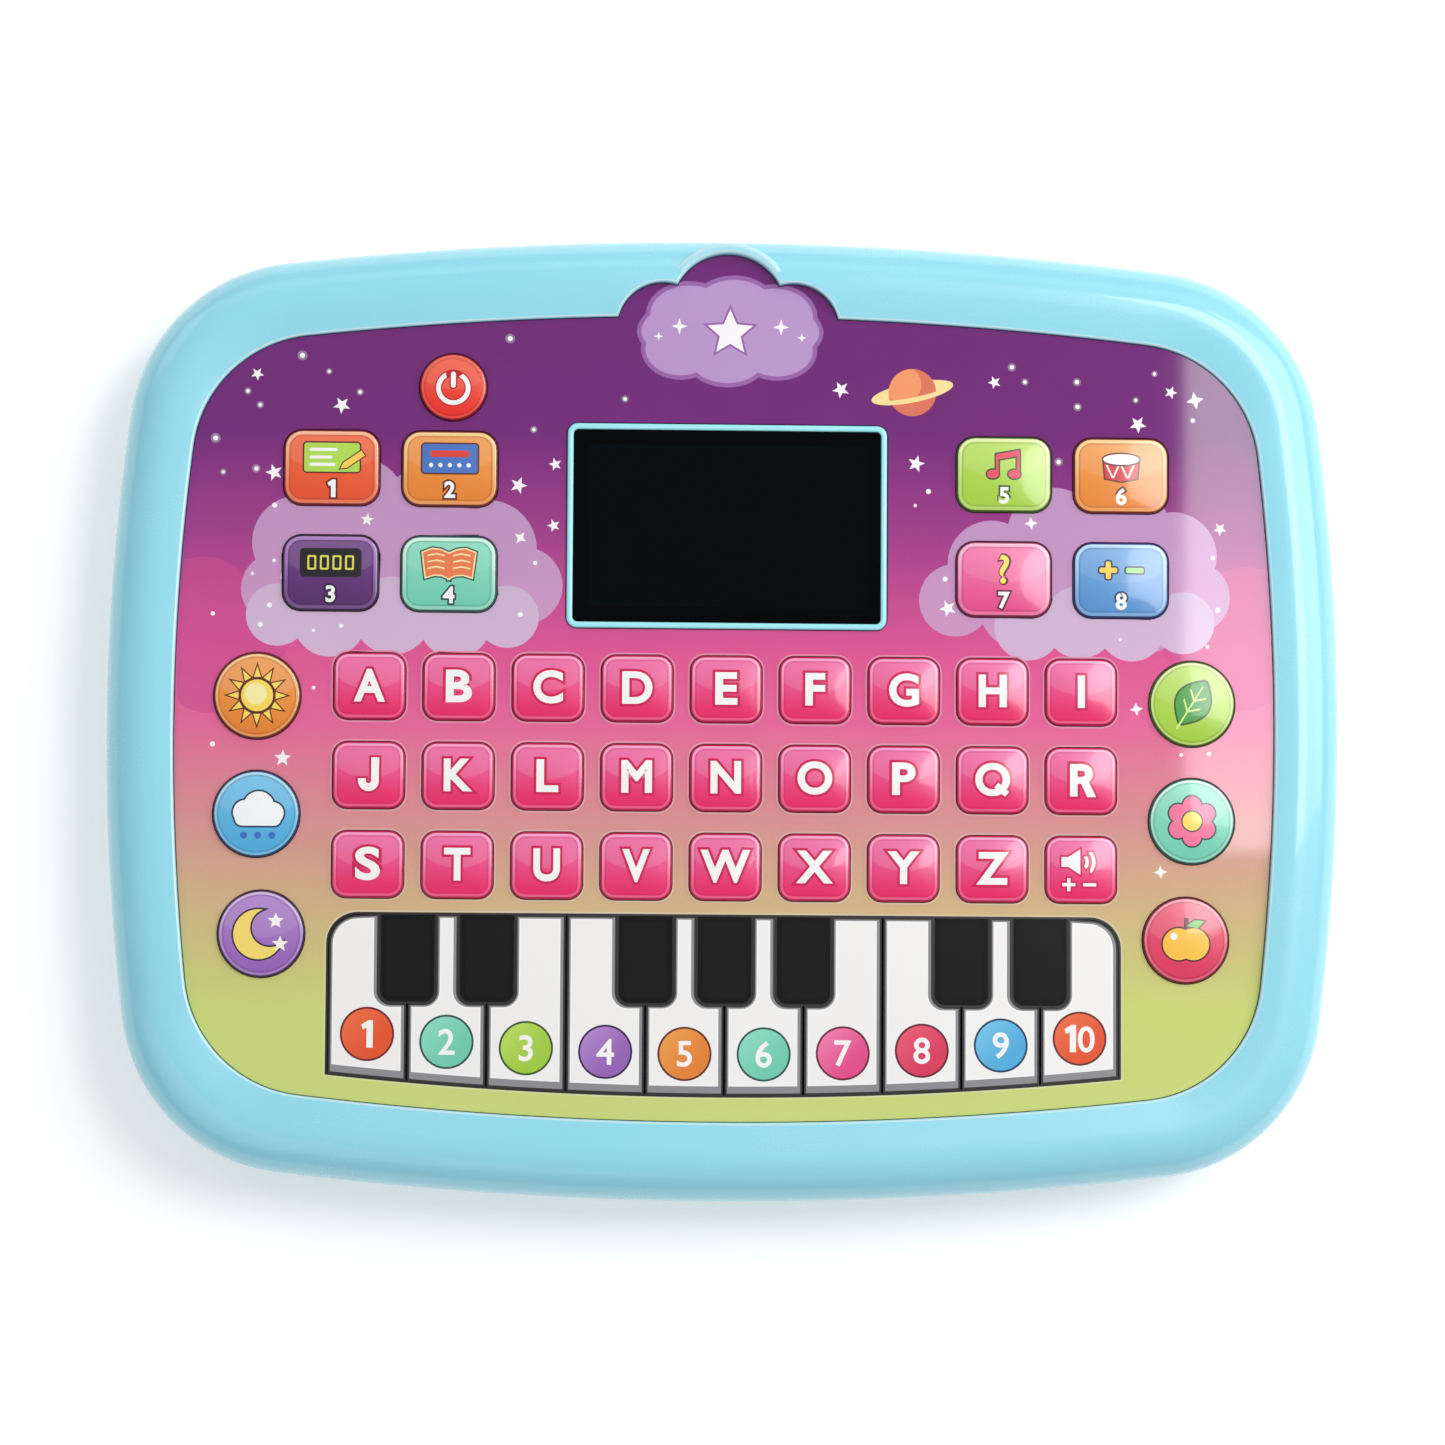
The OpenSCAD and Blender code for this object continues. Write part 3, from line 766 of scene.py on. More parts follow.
# the built-in font's own forms of these break up or hang low, so each is another capital, if any, and
# one stroke, drawn for capitals that are STROKE_TALL high
STROKE_TALL = 6.1
STROKES = {"j": ("", arc((0, -1.13), 2.0, 180, 360, 16) + [(2.0, 3.33), (0.5, 3.33)]
                 + arc((0, -1.13), 0.5, 360, 180, 10) + [(-0.5, -0.7), (-2.0, -0.7)]),
           "q": ("O", [(0.33, -1.44), (2.4, -3.18), (3.17, -2.26), (1.1, -0.52)]),
           "r": ("P", [(-0.3, 0.0), (1.15, -3.13), (2.85, -3.13), (1.35, 0.0)])}


def letter_paint():
    top, low, line = (paint_of("keys", name) for name in ("letter_top", "letter_low", "letter_line"))
    return [key_cap("letter_cap", top, low, line, rgb(255, 166, 208), 0.07),
            plain("letter_line", mixed(line, low, 0.35), 0.2, 0.4),
            plain("letter_fill", WHITE)]


def capital(letter):
    """What is printed for one capital, its line before its body."""
    tall = length_of("keys", "letter_height")
    base, stroke = STROKES.get(letter, (letter.upper(), None))
    lines, bodies = [], []
    if base:
        line, body = (glyph(base, tall, weight * tall) for weight in (0.125, 0.045))
        mid = middle_of(body)
        wide = STRETCH.get(letter, 1.0)
        line, body = ([[((x - mid[0]) * wide, y - mid[1] + 0.1) for x, y in loop] for loop in loops]
                      for loops in (line, body))
        lines.append((LINE, line))
        bodies.append((PALE, body))
    if stroke:
        stroke = moved(stroke, size=tall / STROKE_TALL)
        lines += lined([stroke], 0.42)
        bodies += filled(PALE, [stroke])
    return lines + bodies


def letter_piece(letter):
    node = "key_" + letter
    made = cap(node, box_outline(*LETTER_SIZE), capital(letter), letter_paint())
    ridden(made, node, "letter_pink", node)


def bar(at, w, h):
    left, right, low, high = at[0] - w / 2, at[0] + w / 2, at[1] - h / 2, at[1] + h / 2
    return [(left, low), (right, low), (right, high), (left, high)]


def sound_wave(at, r, w, half):
    """One curved stroke in front of a loudspeaker."""
    return arc(at, r + w / 2, -half, half, 12) + arc(at, r - w / 2, half, -half, 12)


def volume_piece():
    """The loudspeaker sign over a plus and a minus."""
    cone = [(-3.8, 0.5), (-2.5, 0.5), (-0.2, -1.0), (-0.2, 3.9), (-2.5, 2.4), (-3.8, 2.4)]
    waves = [sound_wave((-0.6, 1.45), r, 0.6, 42) for r in (1.7, 3.0)]
    signs = [bar((-2.4, -2.9), 2.5, 0.62), bar((-2.4, -2.9), 0.62, 2.5), bar((1.6, -2.9), 2.5, 0.62)]
    shapes = [cone, *waves, *signs]
    prints = lined(shapes, 0.34) + filled(PALE, shapes)
    made = cap("key_volume", box_outline(*LETTER_SIZE), prints, letter_paint())
    ridden(made, "key_volume", "letter_pink", "key_volume")


def power_piece():
    """The power sign: a ring, open at its top, round a short stem."""
    middle, gap = (0, -0.25), 26
    ring = arc(middle, 3.3, 90 + gap, 450 - gap, 40) + arc(middle, 2.4, 450 - gap, 90 + gap, 40)
    stem = rounded(0.95, 3.1, 0.47, (0, 1.35), steps=4)
    prints = [(LINE, [circle(3.55, middle, 48)]), (0, [circle(2.15, middle, 40)])]
    prints += lined([stem], 0.3) + filled(PALE, [ring, stem])
    paint = [key_cap("power_cap", rgb(244, 92, 66), rgb(236, 40, 32), rgb(122, 12, 20),
                     rgb(246, 110, 92), 0.05, 0.7),
             plain("power_line", rgb(188, 26, 24), 0.2),
             plain("power_fill", WHITE)]
    made = cap("key_power", disc_outline(POWER_R), prints, paint)
    ridden(made, "key_power", "power_red", "key_power")


# ---------------------------------------------------------------- small pictures, drawn about the origin
def card(w=10.6, h=5.6):
    return outlined(rounded(w, h, 0.5, (0, 1.9), steps=3), MAIN)


def picture_card():
    """A note card with three lines and a pen."""
    bars = [rounded(w, 0.6, 0.28, at, steps=2)
            for w, at in ((5.4, (-1.6, 3.4)), (4.4, (-2.1, 1.9)), (5.0, (-1.8, 0.5)))]
    pen = moved([(-2.4, -0.6), (1.8, -0.6), (2.9, 0), (1.8, 0.6), (-2.4, 0.6)], 4.0, 1.4, 215)
    return card() + filled(PALE, bars) + outlined(pen, EXTRA, 0.22)


def picture_tag():
    dots = [circle(0.42, (x, 0.6), 14) for x in (-3.6, -1.8, 0, 1.8, 3.6)]
    return card() + filled(PALE, dots) + filled(EXTRA, [rounded(7.6, 1.3, 0.5, (0, 2.8), steps=3)])


def picture_window():
    """A small display with four figures."""
    cells = []
    for x in (-3.6, -1.2, 1.2, 3.6):
        cells += filled(EXTRA, [rounded(1.7, 2.8, 0.3, (x, 1.9), steps=3)])
        cells += filled(MAIN, [rounded(1.0, 2.1, 0.2, (x, 1.9), steps=3)])
    return card(11.2, 5.0) + cells


def page(side):
    ring = [(0, -2.9), (1.3, -2.3), (2.8, -2.2), (4.4, -2.7), (5.0, 2.0), (3.2, 2.7), (1.6, 2.5), (0, 1.8)]
    return [(side * x, y + 2.0) for x, y in ring]


def picture_book():
    """An open book with three lines on each page."""
    pages = [page(side) for side in (-1, 1)]
    rule = [(0.8, 0), (2.4, 0.35), (4.1, 0), (4.1, 0.3), (2.4, 0.65), (0.8, 0.3)]
    rules = [[(side * x, 0.8 + k * 1.25 + y) for x, y in rule] for side in (-1, 1) for k in range(3)]
    return (lined(pages, 0.55) + [(MAIN, [shrunk(p, -0.28)]) for p in pages] + filled(EXTRA, pages)
            + filled(MAIN, rules))


def picture_note():
    """Two notes joined by a beam."""
    heads = [[((x + at) * 1.15, y * 0.85) for x, y in circle(1.0, steps=24)] for at in (-1.9, 1.7)]
    beam = [(-1.5, 3.9), (2.9, 4.7), (2.9, 3.6), (-1.5, 2.8)]
    stems = [[(x, 0.1), (x + 0.5, 0.1), (x + 0.5, top), (x, top)] for x, top in ((-1.6, 3.6), (2.45, 4.3))]
    shapes = [*heads, beam, *stems]
    return lined(shapes, 0.3) + filled(MAIN, shapes)


def picture_drum():
    body = [(-3.4, 3.0), (-3.1, -0.6), (0, -1.2), (3.1, -0.6), (3.4, 3.0)]
    cords = [[(x, a), (x + 0.35, a), (x + 1.5, b), (x + 1.15, b)] for x, a, b in (
        (-3.0, 2.0, -0.5), (-0.2, 2.0, -0.5), (-1.75, -0.5, 2.0), (1.15, -0.5, 2.0))]
    return outlined(body, MAIN) + filled(PALE, cords) + outlined(ellipse(3.5, 1.05, (0, 3.1), 28), PALE)


def picture_question():
    tall, made = 5.6, []
    for ink, weight in ((LINE, 0.075), (MAIN, 0.02)):
        loops = glyph("?", tall, weight * tall)
        made.append((ink, shifted(loops, (0, 1.9), middle_of(loops))))
    return made


def picture_sums():
    plus = [rounded(w, h, 0.3, (-2.5, 1.9), steps=3) for w, h in ((3.4, 1.0), (1.0, 3.4))]
    minus = [rounded(3.4, 1.0, 0.3, (2.6, 1.9), steps=3)]
    return lined(plus + minus, 0.32) + filled(MAIN, plus) + filled(EXTRA, minus)


# the colours of a key cap: its top, its foot, its outline and its light border
ORANGE_RED = (rgb(242, 108, 62), rgb(232, 82, 40), rgb(120, 22, 24), rgb(252, 190, 150))
AMBER = (rgb(243, 158, 74), rgb(232, 132, 46), rgb(110, 38, 26), rgb(252, 212, 150))
VIOLET = (rgb(112, 56, 132), rgb(84, 38, 106), rgb(34, 12, 48), rgb(178, 132, 200))
MINT = (rgb(140, 222, 196), rgb(112, 206, 176), rgb(38, 86, 84), rgb(214, 246, 232))
LIME = (rgb(186, 222, 92), rgb(164, 206, 62), rgb(60, 92, 30), rgb(228, 244, 170))
PINK = (rgb(244, 120, 170), rgb(230, 74, 138), rgb(116, 18, 62), rgb(252, 188, 214))
BLUE = (rgb(112, 168, 222), rgb(80, 142, 204), rgb(22, 46, 104), rgb(188, 220, 246))
SKY_BLUE = (rgb(112, 196, 236), rgb(78, 172, 222), rgb(20, 62, 100), rgb(190, 228, 248))
LILAC = (rgb(178, 132, 206), rgb(150, 98, 184), rgb(62, 24, 84), rgb(220, 190, 236))
CRIMSON = (rgb(236, 84, 116), rgb(220, 52, 90), rgb(110, 12, 40), rgb(250, 160, 180))

# cap colours, slot, picture and its two paints
MODES = {
    "letters": (ORANGE_RED, "mode_orange", picture_card, rgb(178, 222, 84), rgb(248, 206, 88)),
    "words": (AMBER, "mode_orange", picture_tag, rgb(72, 118, 196), rgb(222, 66, 60)),
    "spelling": (VIOLET, "mode_purple", picture_window, rgb(22, 20, 26), rgb(226, 222, 92)),
    "reading": (MINT, "mode_mint", picture_book, rgb(252, 232, 170), rgb(236, 124, 78)),
    "song": (LIME, "mode_lime", picture_note, rgb(236, 76, 104), WHITE),
    "music": (AMBER, "mode_orange", picture_drum, rgb(214, 58, 66), WHITE),
    "question": (PINK, "mode_pink", picture_question, rgb(252, 226, 96), WHITE),
    "sums": (BLUE, "mode_blue", picture_sums, rgb(252, 214, 84), rgb(150, 226, 120)),
}


def label(text, tall, at, line, bold):
    """A number's line and its body, round a place; line and bold thicken it by shares of its height."""
    wide, slim = (figures(text, tall, weight * tall) for weight in (line, bold))
    middle = middle_of(slim)
    return [(LINE, shifted(wide, at, middle)), (PALE, shifted(slim, at, middle))]


def mode_piece(index, name):
    colours, slot, picture, third, fourth = MODES[name]
    node = "key_" + name
    paint = [key_cap(f"cap_{slot}_{name}", *colours, 0.05, 0.9),
             plain("line_" + name, mixed(colours[2], INK, 0.35)),
             plain("label_fill", WHITE),
             plain("picture_a_" + name, third),
             plain("picture_b_" + name, fourth)]
    prints = picture() + label(str(index + 1), length_of("keys", "digit_height"), (0, -4.1), 0.16, 0.045)
    made = cap(node, box_outline(*MODE_SIZE), prints, paint, shoulder=0.6, rings=(0.15, 0.4, 0.6, 1.2))
    ridden(made, node, slot, node)


def motif_sun():
    rays = [moved([(2.9, -0.55), (4.6, 0), (2.9, 0.55)], turn=30 * i) for i in range(12)]
    return (lined(rays, 0.2) + filled(MAIN, rays) + outlined(circle(2.5, steps=36), MAIN, 0.28)
            + filled(EXTRA, [circle(1.7, (-0.2, 0.25), 30)]))


def motif_cloud():
    puffs = [circle(1.9, (-1.7, 0.2), 26), circle(2.4, (0.4, 1.1), 28), circle(1.7, (2.6, 0.1), 24),
             rounded(7.2, 2.4, 1.1, (0.3, -0.7), steps=5)]
    drops = [circle(0.55, (x, -3.4), 14) for x in (-1.9, 0.3, 2.5)]
    return lined(puffs, 0.28) + filled(MAIN, puffs) + filled(EXTRA, drops)


def crescent(r, at=(0, 0), turn=30.0):
    """A circle's outline with a smaller circle's bite out of its +X side."""
    outer = arc((0, 0), r, 50, 310, 34)
    near = (r * 0.52, 0)
    tip = heading(near, outer[0])
    inner = arc(near, math.dist(near, outer[0]), 360 - tip, tip, 26)
    return moved(outer + inner, *at, turn)


def motif_moon():
    stars = [star(5, 1.3, 0.45, at) for at in ((2.3, 2.0), (3.0, -1.6))]
    return outlined(crescent(3.9, (-0.4, -0.1)), MAIN, 0.28) + filled(EXTRA, stars)


def motif_leaf():
    """A leaf that leans to the right, with its stalk and four veins."""
    half = [(2.7 * math.sin(math.pi * t) ** 0.9, -4.0 + 8.0 * t) for t in np.linspace(0.02, 0.98, 15)]
    leaf = half + [(-x, y) for x, y in half[::-1]]
    stalk = [(-0.16, -4.9), (0.16, -4.9), (0.1, 3.0), (-0.1, 3.0)]
    right = [[(0, -1.9), (1.5, -0.5), (1.5, -0.15), (0, -1.5)], [(0, 0.1), (1.4, 1.4), (1.4, 1.75), (0, 0.5)]]
    left = [[(-x, y) for x, y in vein] for vein in right]
    leaf, *veins = (moved(shape, 0.1, 0.2, -32) for shape in [leaf, stalk, *right, *left])
    return outlined(leaf, MAIN, 0.28) + filled(EXTRA, veins)


def motif_flower():
    turns = [math.radians(30 + 60 * i) for i in range(6)]
    petals = [circle(1.45, (2.5 * math.cos(t), 2.5 * math.sin(t)), 20) for t in turns]
    return lined(petals, 0.26) + filled(MAIN, petals) + outlined(circle(1.5, steps=26), EXTRA, 0.22)


def motif_fruit():
    halves = [circle(2.5, (x, -0.6), 30) for x in (-1.15, 1.15)]
    leaf = moved([(0, 0), (1.2, 0.9), (2.7, 0.7), (1.6, -0.4)], 0.2, 2.3)
    stem = [(-0.22, 1.4), (0.22, 1.4), (0.32, 3.4), (-0.12, 3.4)]
    return (lined(halves, 0.26) + lined([leaf], 0.24) + lined([stem], 0.15) + filled(MAIN, halves)
            + filled(EXTRA, [leaf]) + filled(PALE, [circle(0.55, (-1.9, 0.6), 16)]))


# cap colours, motif and its two paints
PICTURES = {
    "left_top": (AMBER, motif_sun, rgb(252, 220, 92), rgb(254, 240, 170)),
    "left_middle": (SKY_BLUE, motif_cloud, rgb(250, 252, 254), rgb(58, 112, 200)),
    "left_bottom": (LILAC, motif_moon, rgb(250, 222, 110), rgb(252, 250, 240)),
    "right_top": (LIME, motif_leaf, rgb(70, 158, 70), rgb(212, 240, 140)),
    "right_middle": (MINT, motif_flower, rgb(246, 116, 158), rgb(252, 222, 96)),
    "right_bottom": (CRIMSON, motif_fruit, rgb(252, 196, 70), rgb(120, 200, 90)),
}


def picture_piece(name):
    colours, motif, third, fourth = PICTURES[name]
    node = "key_picture_" + name
    paint = [key_cap("cap_" + name, *colours, 0.06, 0.7),
             plain("line_" + name, mixed(colours[2], INK, 0.3)),
             plain("label_fill", WHITE),
             plain("motif_a_" + name, third),
             plain("motif_b_" + name, fourth)]
    prints = [(number, [moved(loop, size=1.22) for loop in loops]) for number, loops in motif()]
    made = cap(node, disc_outline(PICTURE_R), prints, paint, spacing=1.2)
    ridden(made, node, "picture_key", node)


# ---------------------------------------------------------------- piano keyboard
PIANO_PITCH, PIANO_TOP, PIANO_R = 15.1, -37.2, 5.6
PIANO_W = 10 * PIANO_PITCH
PIANO_LOW, PIANO_END = -71.25, -67.4  # the bowed foot's lowest level, and its level at both ends
PIANO_BOW = ((PIANO_W / 2) ** 2 + (PIANO_END - PIANO_LOW) ** 2) / 2 / (PIANO_END - PIANO_LOW)
BLACK_W, BLACK_L, BLACK_R = 10.25, 16.6, 2.0
BLACK_EDGES = (1, 2, 4, 5, 6, 8, 9)  # a black key stands after each of these white ones
DISCS = [(60.0, ORANGE_RED), (61.4, MINT), (62.5, LIME), (63.1, LILAC), (63.4, AMBER),
         (63.4, MINT), (63.1, PINK), (62.5, CRIMSON), (61.4, SKY_BLUE), (60.0, ORANGE_RED)]


def bow_y(x, grow=0.0):
    """Level of the keyboard's bowed foot."""
    r = PIANO_BOW + grow
    return PIANO_LOW + PIANO_BOW - math.sqrt(r * r - x * x)


def piano_ring(grow=0.0):
    """The whole keyboard's outline."""
    half, r, top = PIANO_W / 2 + grow, PIANO_R + grow, PIANO_TOP + grow
    low = [(x, bow_y(x, grow)) for x in np.linspace(-half, half, 48)]
    return (low + arc((half - r, top - r), r, 0, 90, 10) + [(half - r, top)]
            + arc((r - half, top - r), r, 90, 180, 10) + [(-half, top - r)])


def white_ring(i, gap=0.2):
    """Outline of one white key, with the corners of the black ones cut out of it."""
    start, end = (n * PIANO_PITCH - PIANO_W / 2 for n in (i, i + 1))
    left, right = start + gap, end - gap
    clear = 0.35
    foot, r, cut = PIANO_TOP - BLACK_L - clear, BLACK_R + clear, BLACK_W / 2 + clear
    ring = [(x, bow_y(x)) for x in np.linspace(left, right, 7)]
    if i + 1 in BLACK_EDGES:
        edge = end - cut
        ring += [(right, foot), *arc((edge + r, foot + r), r, 270, 180, 7)]
        ring += [(edge, foot + r), (edge, PIANO_TOP)]
    elif i == len(DISCS) - 1:
        ring += arc((end - PIANO_R, PIANO_TOP - PIANO_R), PIANO_R - gap, 0, 90, 9)
        ring.append((end - PIANO_R, PIANO_TOP - gap))
    else:
        ring.append((right, PIANO_TOP))
    if i in BLACK_EDGES:
        edge = start + cut
        ring += [(edge, PIANO_TOP), *arc((edge - r, foot + r), r, 0, -90, 7), (edge - r, foot), (left, foot)]
    elif i == 0:
        ring += arc((start + PIANO_R, PIANO_TOP - PIANO_R), PIANO_R - gap, 90, 180, 9)
        ring.append((left, PIANO_TOP - PIANO_R))
    else:
        ring.append((left, PIANO_TOP))
    return [p for p, q in zip(ring, ring[1:] + ring[:1]) if math.dist(p, q) > 1e-3]


def tongue(e, grow=0.0):
    """One black key, printed on the panel between two white ones."""
    x = e * PIANO_PITCH - PIANO_W / 2
    left, right, top = x - BLACK_W / 2 - grow, x + BLACK_W / 2 + grow, PIANO_TOP + grow
    low, r = PIANO_TOP - BLACK_L - grow, BLACK_R + grow
    return (arc((left + r, low + r), r, 180, 270, 7) + [(left + r, low)]
            + arc((right - r, low + r), r, 270, 360, 7) + [(right, low + r), (right, top), (left, top)])


def piano_piece(i):
    """One white key: dark line, grey shade at its foot and right side, body, and a numbered disc."""
    node = f"key_piano_{i + 1}"
    ring = white_ring(i)

    def shade(n):
        return 0.28 + 0.28 * max(0.0, float(n[0])) + 1.05 * max(0.0, float(-n[1]))
    grey = shrunk(ring, 0.36)
    white = shrunk(grey, shade)
    body = shrunk(white, 0.3)
    drop, colours = DISCS[i]
    at = ((i + 0.5) * PIANO_PITCH - PIANO_W / 2, -drop)
    digit = label(str(i + 1), 5.0, at, 0.03, 0.02)[1][1]
    layers = [[grey], [white], [body], [circle(5.17, at, 48)], [circle(4.78, at, 48)], digit]
    paint = [plain("piano_line", rgb(46, 44, 46)),
             plain("piano_shade", rgb(142, 142, 146)),
             plain("piano_edge", WHITE, 0.2),
             plain("piano_body", paint_of("keys", "piano_body"), 0.2),
             plain(f"disc_line_{i}", mixed(colours[2], INK, 0.2)),
             key_fade(f"disc_{i}", colours, at),
             plain("label_fill", WHITE)]
    top = top_of(node)
    sheet = Sheet()
    sheet.flat(ring, top, prints=list(enumerate(layers, 1)))
    sheet.wall(ring, FILM_Z - SKIRT, top)
    made = sheet.piece(node + "_cap", paint, (0, FACE_Y), smooth=30)
    ridden(made, node, "piano_white", node)


def key_fade(name, colours, at):
    """A printed disc, lighter at its top left."""
    def make(net):
        x, y, _ = net.place()
        rise = ((y - (at[1] + FACE_Y) * MM) - (x - at[0] * MM)) / (8 * MM)
        return net.finish(net.mix(rise.between(-0.6, 1.0), colours[1], colours[0]), rough=0.22, coat=0.5)
    return once(name, make)


# ---------------------------------------------------------------- face panel
def panel_depth(x, y):
    """How far inside the recess's outline a point lies, its lobes included."""
    return max(RECESS.depth(x, y), LOBE_R - math.dist((x, y), LOBE),
               SIDE_LOBE_R - math.dist((abs(x), y), SIDE_LOBE))


KEY_GAP, LETTER_COUNT = 0.17, 27  # the gap round a key, and how many keys have the letters' size
PLANET_AT = (35.6, 64.2)

# the paints of what is printed on the panel; 0 is the sky
(CLOUD, HAZE, DUSK, STAR, GLOW, HALO, DARK, BADGE_RIM, BADGE_FILL,
 PLANET_RING, PLANET_BODY, PLANET_SHADE, BLACK_LINE, BLACK_BODY, GAP_WALL) = range(1, 16)


def key_holes(grow):
    """Openings for all the keys but the piano's, face up: letters, volume, modes, power and pictures."""
    holes = []
    boxes = [(letter, LETTER_SIZE) for letter in [*"abcdefghijklmnopqrstuvwxyz", "volume"]]
    for name, (w, h, r) in boxes + [(name, MODE_SIZE) for name in MODES]:
        at = span("key_" + name)[0]
        holes.append(rounded(w + 2 * grow, h + 2 * grow, r + grow, (at.x, at.y - FACE_Y), steps=6))
    for name, r in [("power", POWER_R)] + [("picture_" + p, PICTURE_R) for p in PICTURES]:
        at = span("key_" + name)[0]
        holes.append(circle(r + grow, (at.x, at.y - FACE_Y), 48))
    return holes


def clipped(loop, ring):
    """Points of a print that would leave the panel are brought back onto its edge."""
    hit = inside(np.array(loop), [ring])
    edge = np.array(ring)
    return [p if ok else tuple(edge[np.argmin(((edge - p) ** 2).sum(1))]) for p, ok in zip(loop, hit)]


def cloud_prints():
    """Layered bands of evening cloud, then the pale clouds behind the mode keys."""
    edge = notched(0.5)
    groups = [
        (DUSK, (-100, 2), [(0, 20, 9), (9, 15, 8), (1, 8, 9)]),
        (DUSK, (100, 4), [(0, 18, 9), (-9, 14, 8), (-1, 8, 9)]),
        (CLOUD, (-66, 32), [(-16, 2, 9), (-5, 9, 9.5), (9, 7, 10), (20, 1, 9.5), (27, -6, 7.5),
                            (2, -3, 11), (-20, -7, 7), (15, -7, 9), (-9, -8, 9)]),
        (CLOUD, (68, 30), [(18, 3, 8.5), (8, 9, 9), (-5, 7, 9), (-17, 1, 8.5), (-24, -6, 7),
                           (0, -2, 11), (22, -5, 7), (12, -7, 9), (-11, -7, 8.5)]),
        (HAZE, (-64, 20), [(-22, 0, 6), (-12, -1, 7), (0, 0, 7.5), (12, -1, 7), (22, 0, 6)]),
        (HAZE, (68, 20), [(20, 0, 6), (10, -1, 6.5), (0, 0, 7), (-10, -1, 6.5)])]
    return [(paint, [clipped(circle(r, (at[0] + x, at[1] + y), 40), edge)])
            for paint, at, puffs in groups for x, y, r in puffs]


def planet_prints():
    """A ringed planet in the night part."""
    big, tilt = length_of("panel", "planet"), 12
    wide, thin = big * 1.75, big * 0.42
    near_half = np.linspace(math.pi * 0.98, math.pi * 0.02, 24)
    front = [(-wide, 0)] + [(wide * math.cos(a), -thin * math.sin(a)) for a in near_half] + [(wide, 0)]
    back = [(wide * 0.82 * math.cos(a), -thin * 0.5 * math.sin(a)) for a in near_half[::-1]]
    return [(PLANET_RING, [moved(ellipse(wide, thin, (0, 0)), *PLANET_AT, tilt)]),
            (PLANET_BODY, [circle(big, PLANET_AT, 44)]),
            (PLANET_SHADE, [moved(crescent(big, turn=0), *PLANET_AT, 140)]),
            (PLANET_RING, [moved(front + back, *PLANET_AT, tilt)])]


def star_places(rng, holes):
    """Places clear of keys, window, planet and badge, denser towards the top, each with a radius."""
    taken = [np.array(hole).mean(0) for hole in holes]
    spots = []
    while len(spots) < choices("panel").stars:
        x, y = rng.uniform(-99, 99), rng.uniform(-34, 76)
        if panel_depth(x, y) < 3.5 or any(math.hypot(x - px, y - py) < 3.4 for px, py, _ in spots):
            continue
        near = min(abs(x - t[0]) / 1.15 if abs(y - t[1]) < 9 else 99 for t in taken)
        if near < 9.2 or abs(x) < 33 and 15 < y < 60 or math.dist((x, y), PLANET_AT) < 11:
            continue
        if math.dist((x, y), (0, 75)) < 22 or rng.random() > 0.35 + (y + 40) / 150:
            continue
        spots.append((x, y, rng.choice((0.32, 0.36, 0.42, 0.5, 1.3, 1.7))))
    return spots


def star_prints(holes):
    rng = random.Random(7)
    made = []
    for x, y, r in star_places(rng, holes):
        if r > 1:
            points = rng.choice((4, 5))
            made.append((STAR, [star(points, r, 0.42, (x, y), rng.uniform(0, 90))]))
            continue
        if y > 46 or abs(x) < 33:
            made.append((GLOW, [circle(r * 1.9, (x, y), 14)]))
        made.append((STAR, [circle(r, (x, y), 12)]))
    return made


def badge_prints():
    """A cloud with a plain star, in the notch, and four small stars."""
    puffs = [(0, 0, 18.0, 8.0), (-7.8, 3.2, 8.5, 6.6), (0.8, 4.8, 8.4, 6.2), (8.6, 3.0, 8.2, 6.4),
             (-9.6, -3.4, 7.6, 6.0), (-0.6, -5.2, 8.0, 5.6), (9.0, -3.6, 7.8, 5.8)]
    small = [(-9.4, 76.6, 1.6), (10.2, 76.6, 1.6), (-13.4, 74.6, 0.9), (14.2, 74.6, 0.9)]
    made = [(paint, [ellipse(a + grow, b + grow, (0.4 + x, 75.6 + y))])
            for paint, grow in ((BADGE_RIM, 0.0), (BADGE_FILL, -0.85)) for x, y, a, b in puffs]
    made += [(paint, [star(5, r, 0.46, (0.4, 75.4))]) for paint, r in ((BADGE_RIM, 5.6), (STAR, 4.6))]
    return made + [(STAR, [star(4, r, 0.34, (x, y))]) for x, y, r in small]


def keyboard_prints():
    """Halo and dark line round the piano, and the black keys."""
    made = [(HALO, [piano_ring(0.75)]), (DARK, [piano_ring(0.42)])]
    for e in BLACK_EDGES:
        made += [(DARK, [moved(tongue(e, 0.1), 0.35, -0.25)]), (BLACK_LINE, [tongue(e)]),
                 (BLACK_BODY, [shrunk(tongue(e), 1.05)])]
    return made


def panel_paint():
    """The sky, and then the paints in the order of their numbers."""
    return [film("film_sky"),
            film("film_cloud", rgb(203, 162, 206), 0.8),
            film("film_haze", rgb(210, 196, 224), 0.8),
            film("film_dusk", rgb(206, 76, 146), 0.55),
            plain("print_star", rgb(250, 248, 252), 0.2, 0.6),
            film("film_glow", WHITE, 0.2),
            film("film_halo", WHITE, 0.22),
            plain("print_dark", rgb(44, 40, 42), 0.24),
            plain("badge_rim", rgb(152, 96, 166), 0.2, 0.6),
            plain("badge_fill", rgb(186, 148, 204), 0.2, 0.6),
            plain("planet_ring", rgb(250, 222, 150), 0.2, 0.6),
            plain("planet_body", rgb(246, 150, 96), 0.2, 0.6),
            plain("planet_shade", rgb(222, 112, 84), 0.2, 0.6),
            plain("black_line", rgb(10, 8, 10), 0.2, 0.35, light=0.2),
            plain("black_body", rgb(18, 16, 17), 0.2, 0.35, light=0.2),
            plain("gap_wall", rgb(150, 24, 80), 0.3, 0.0)]


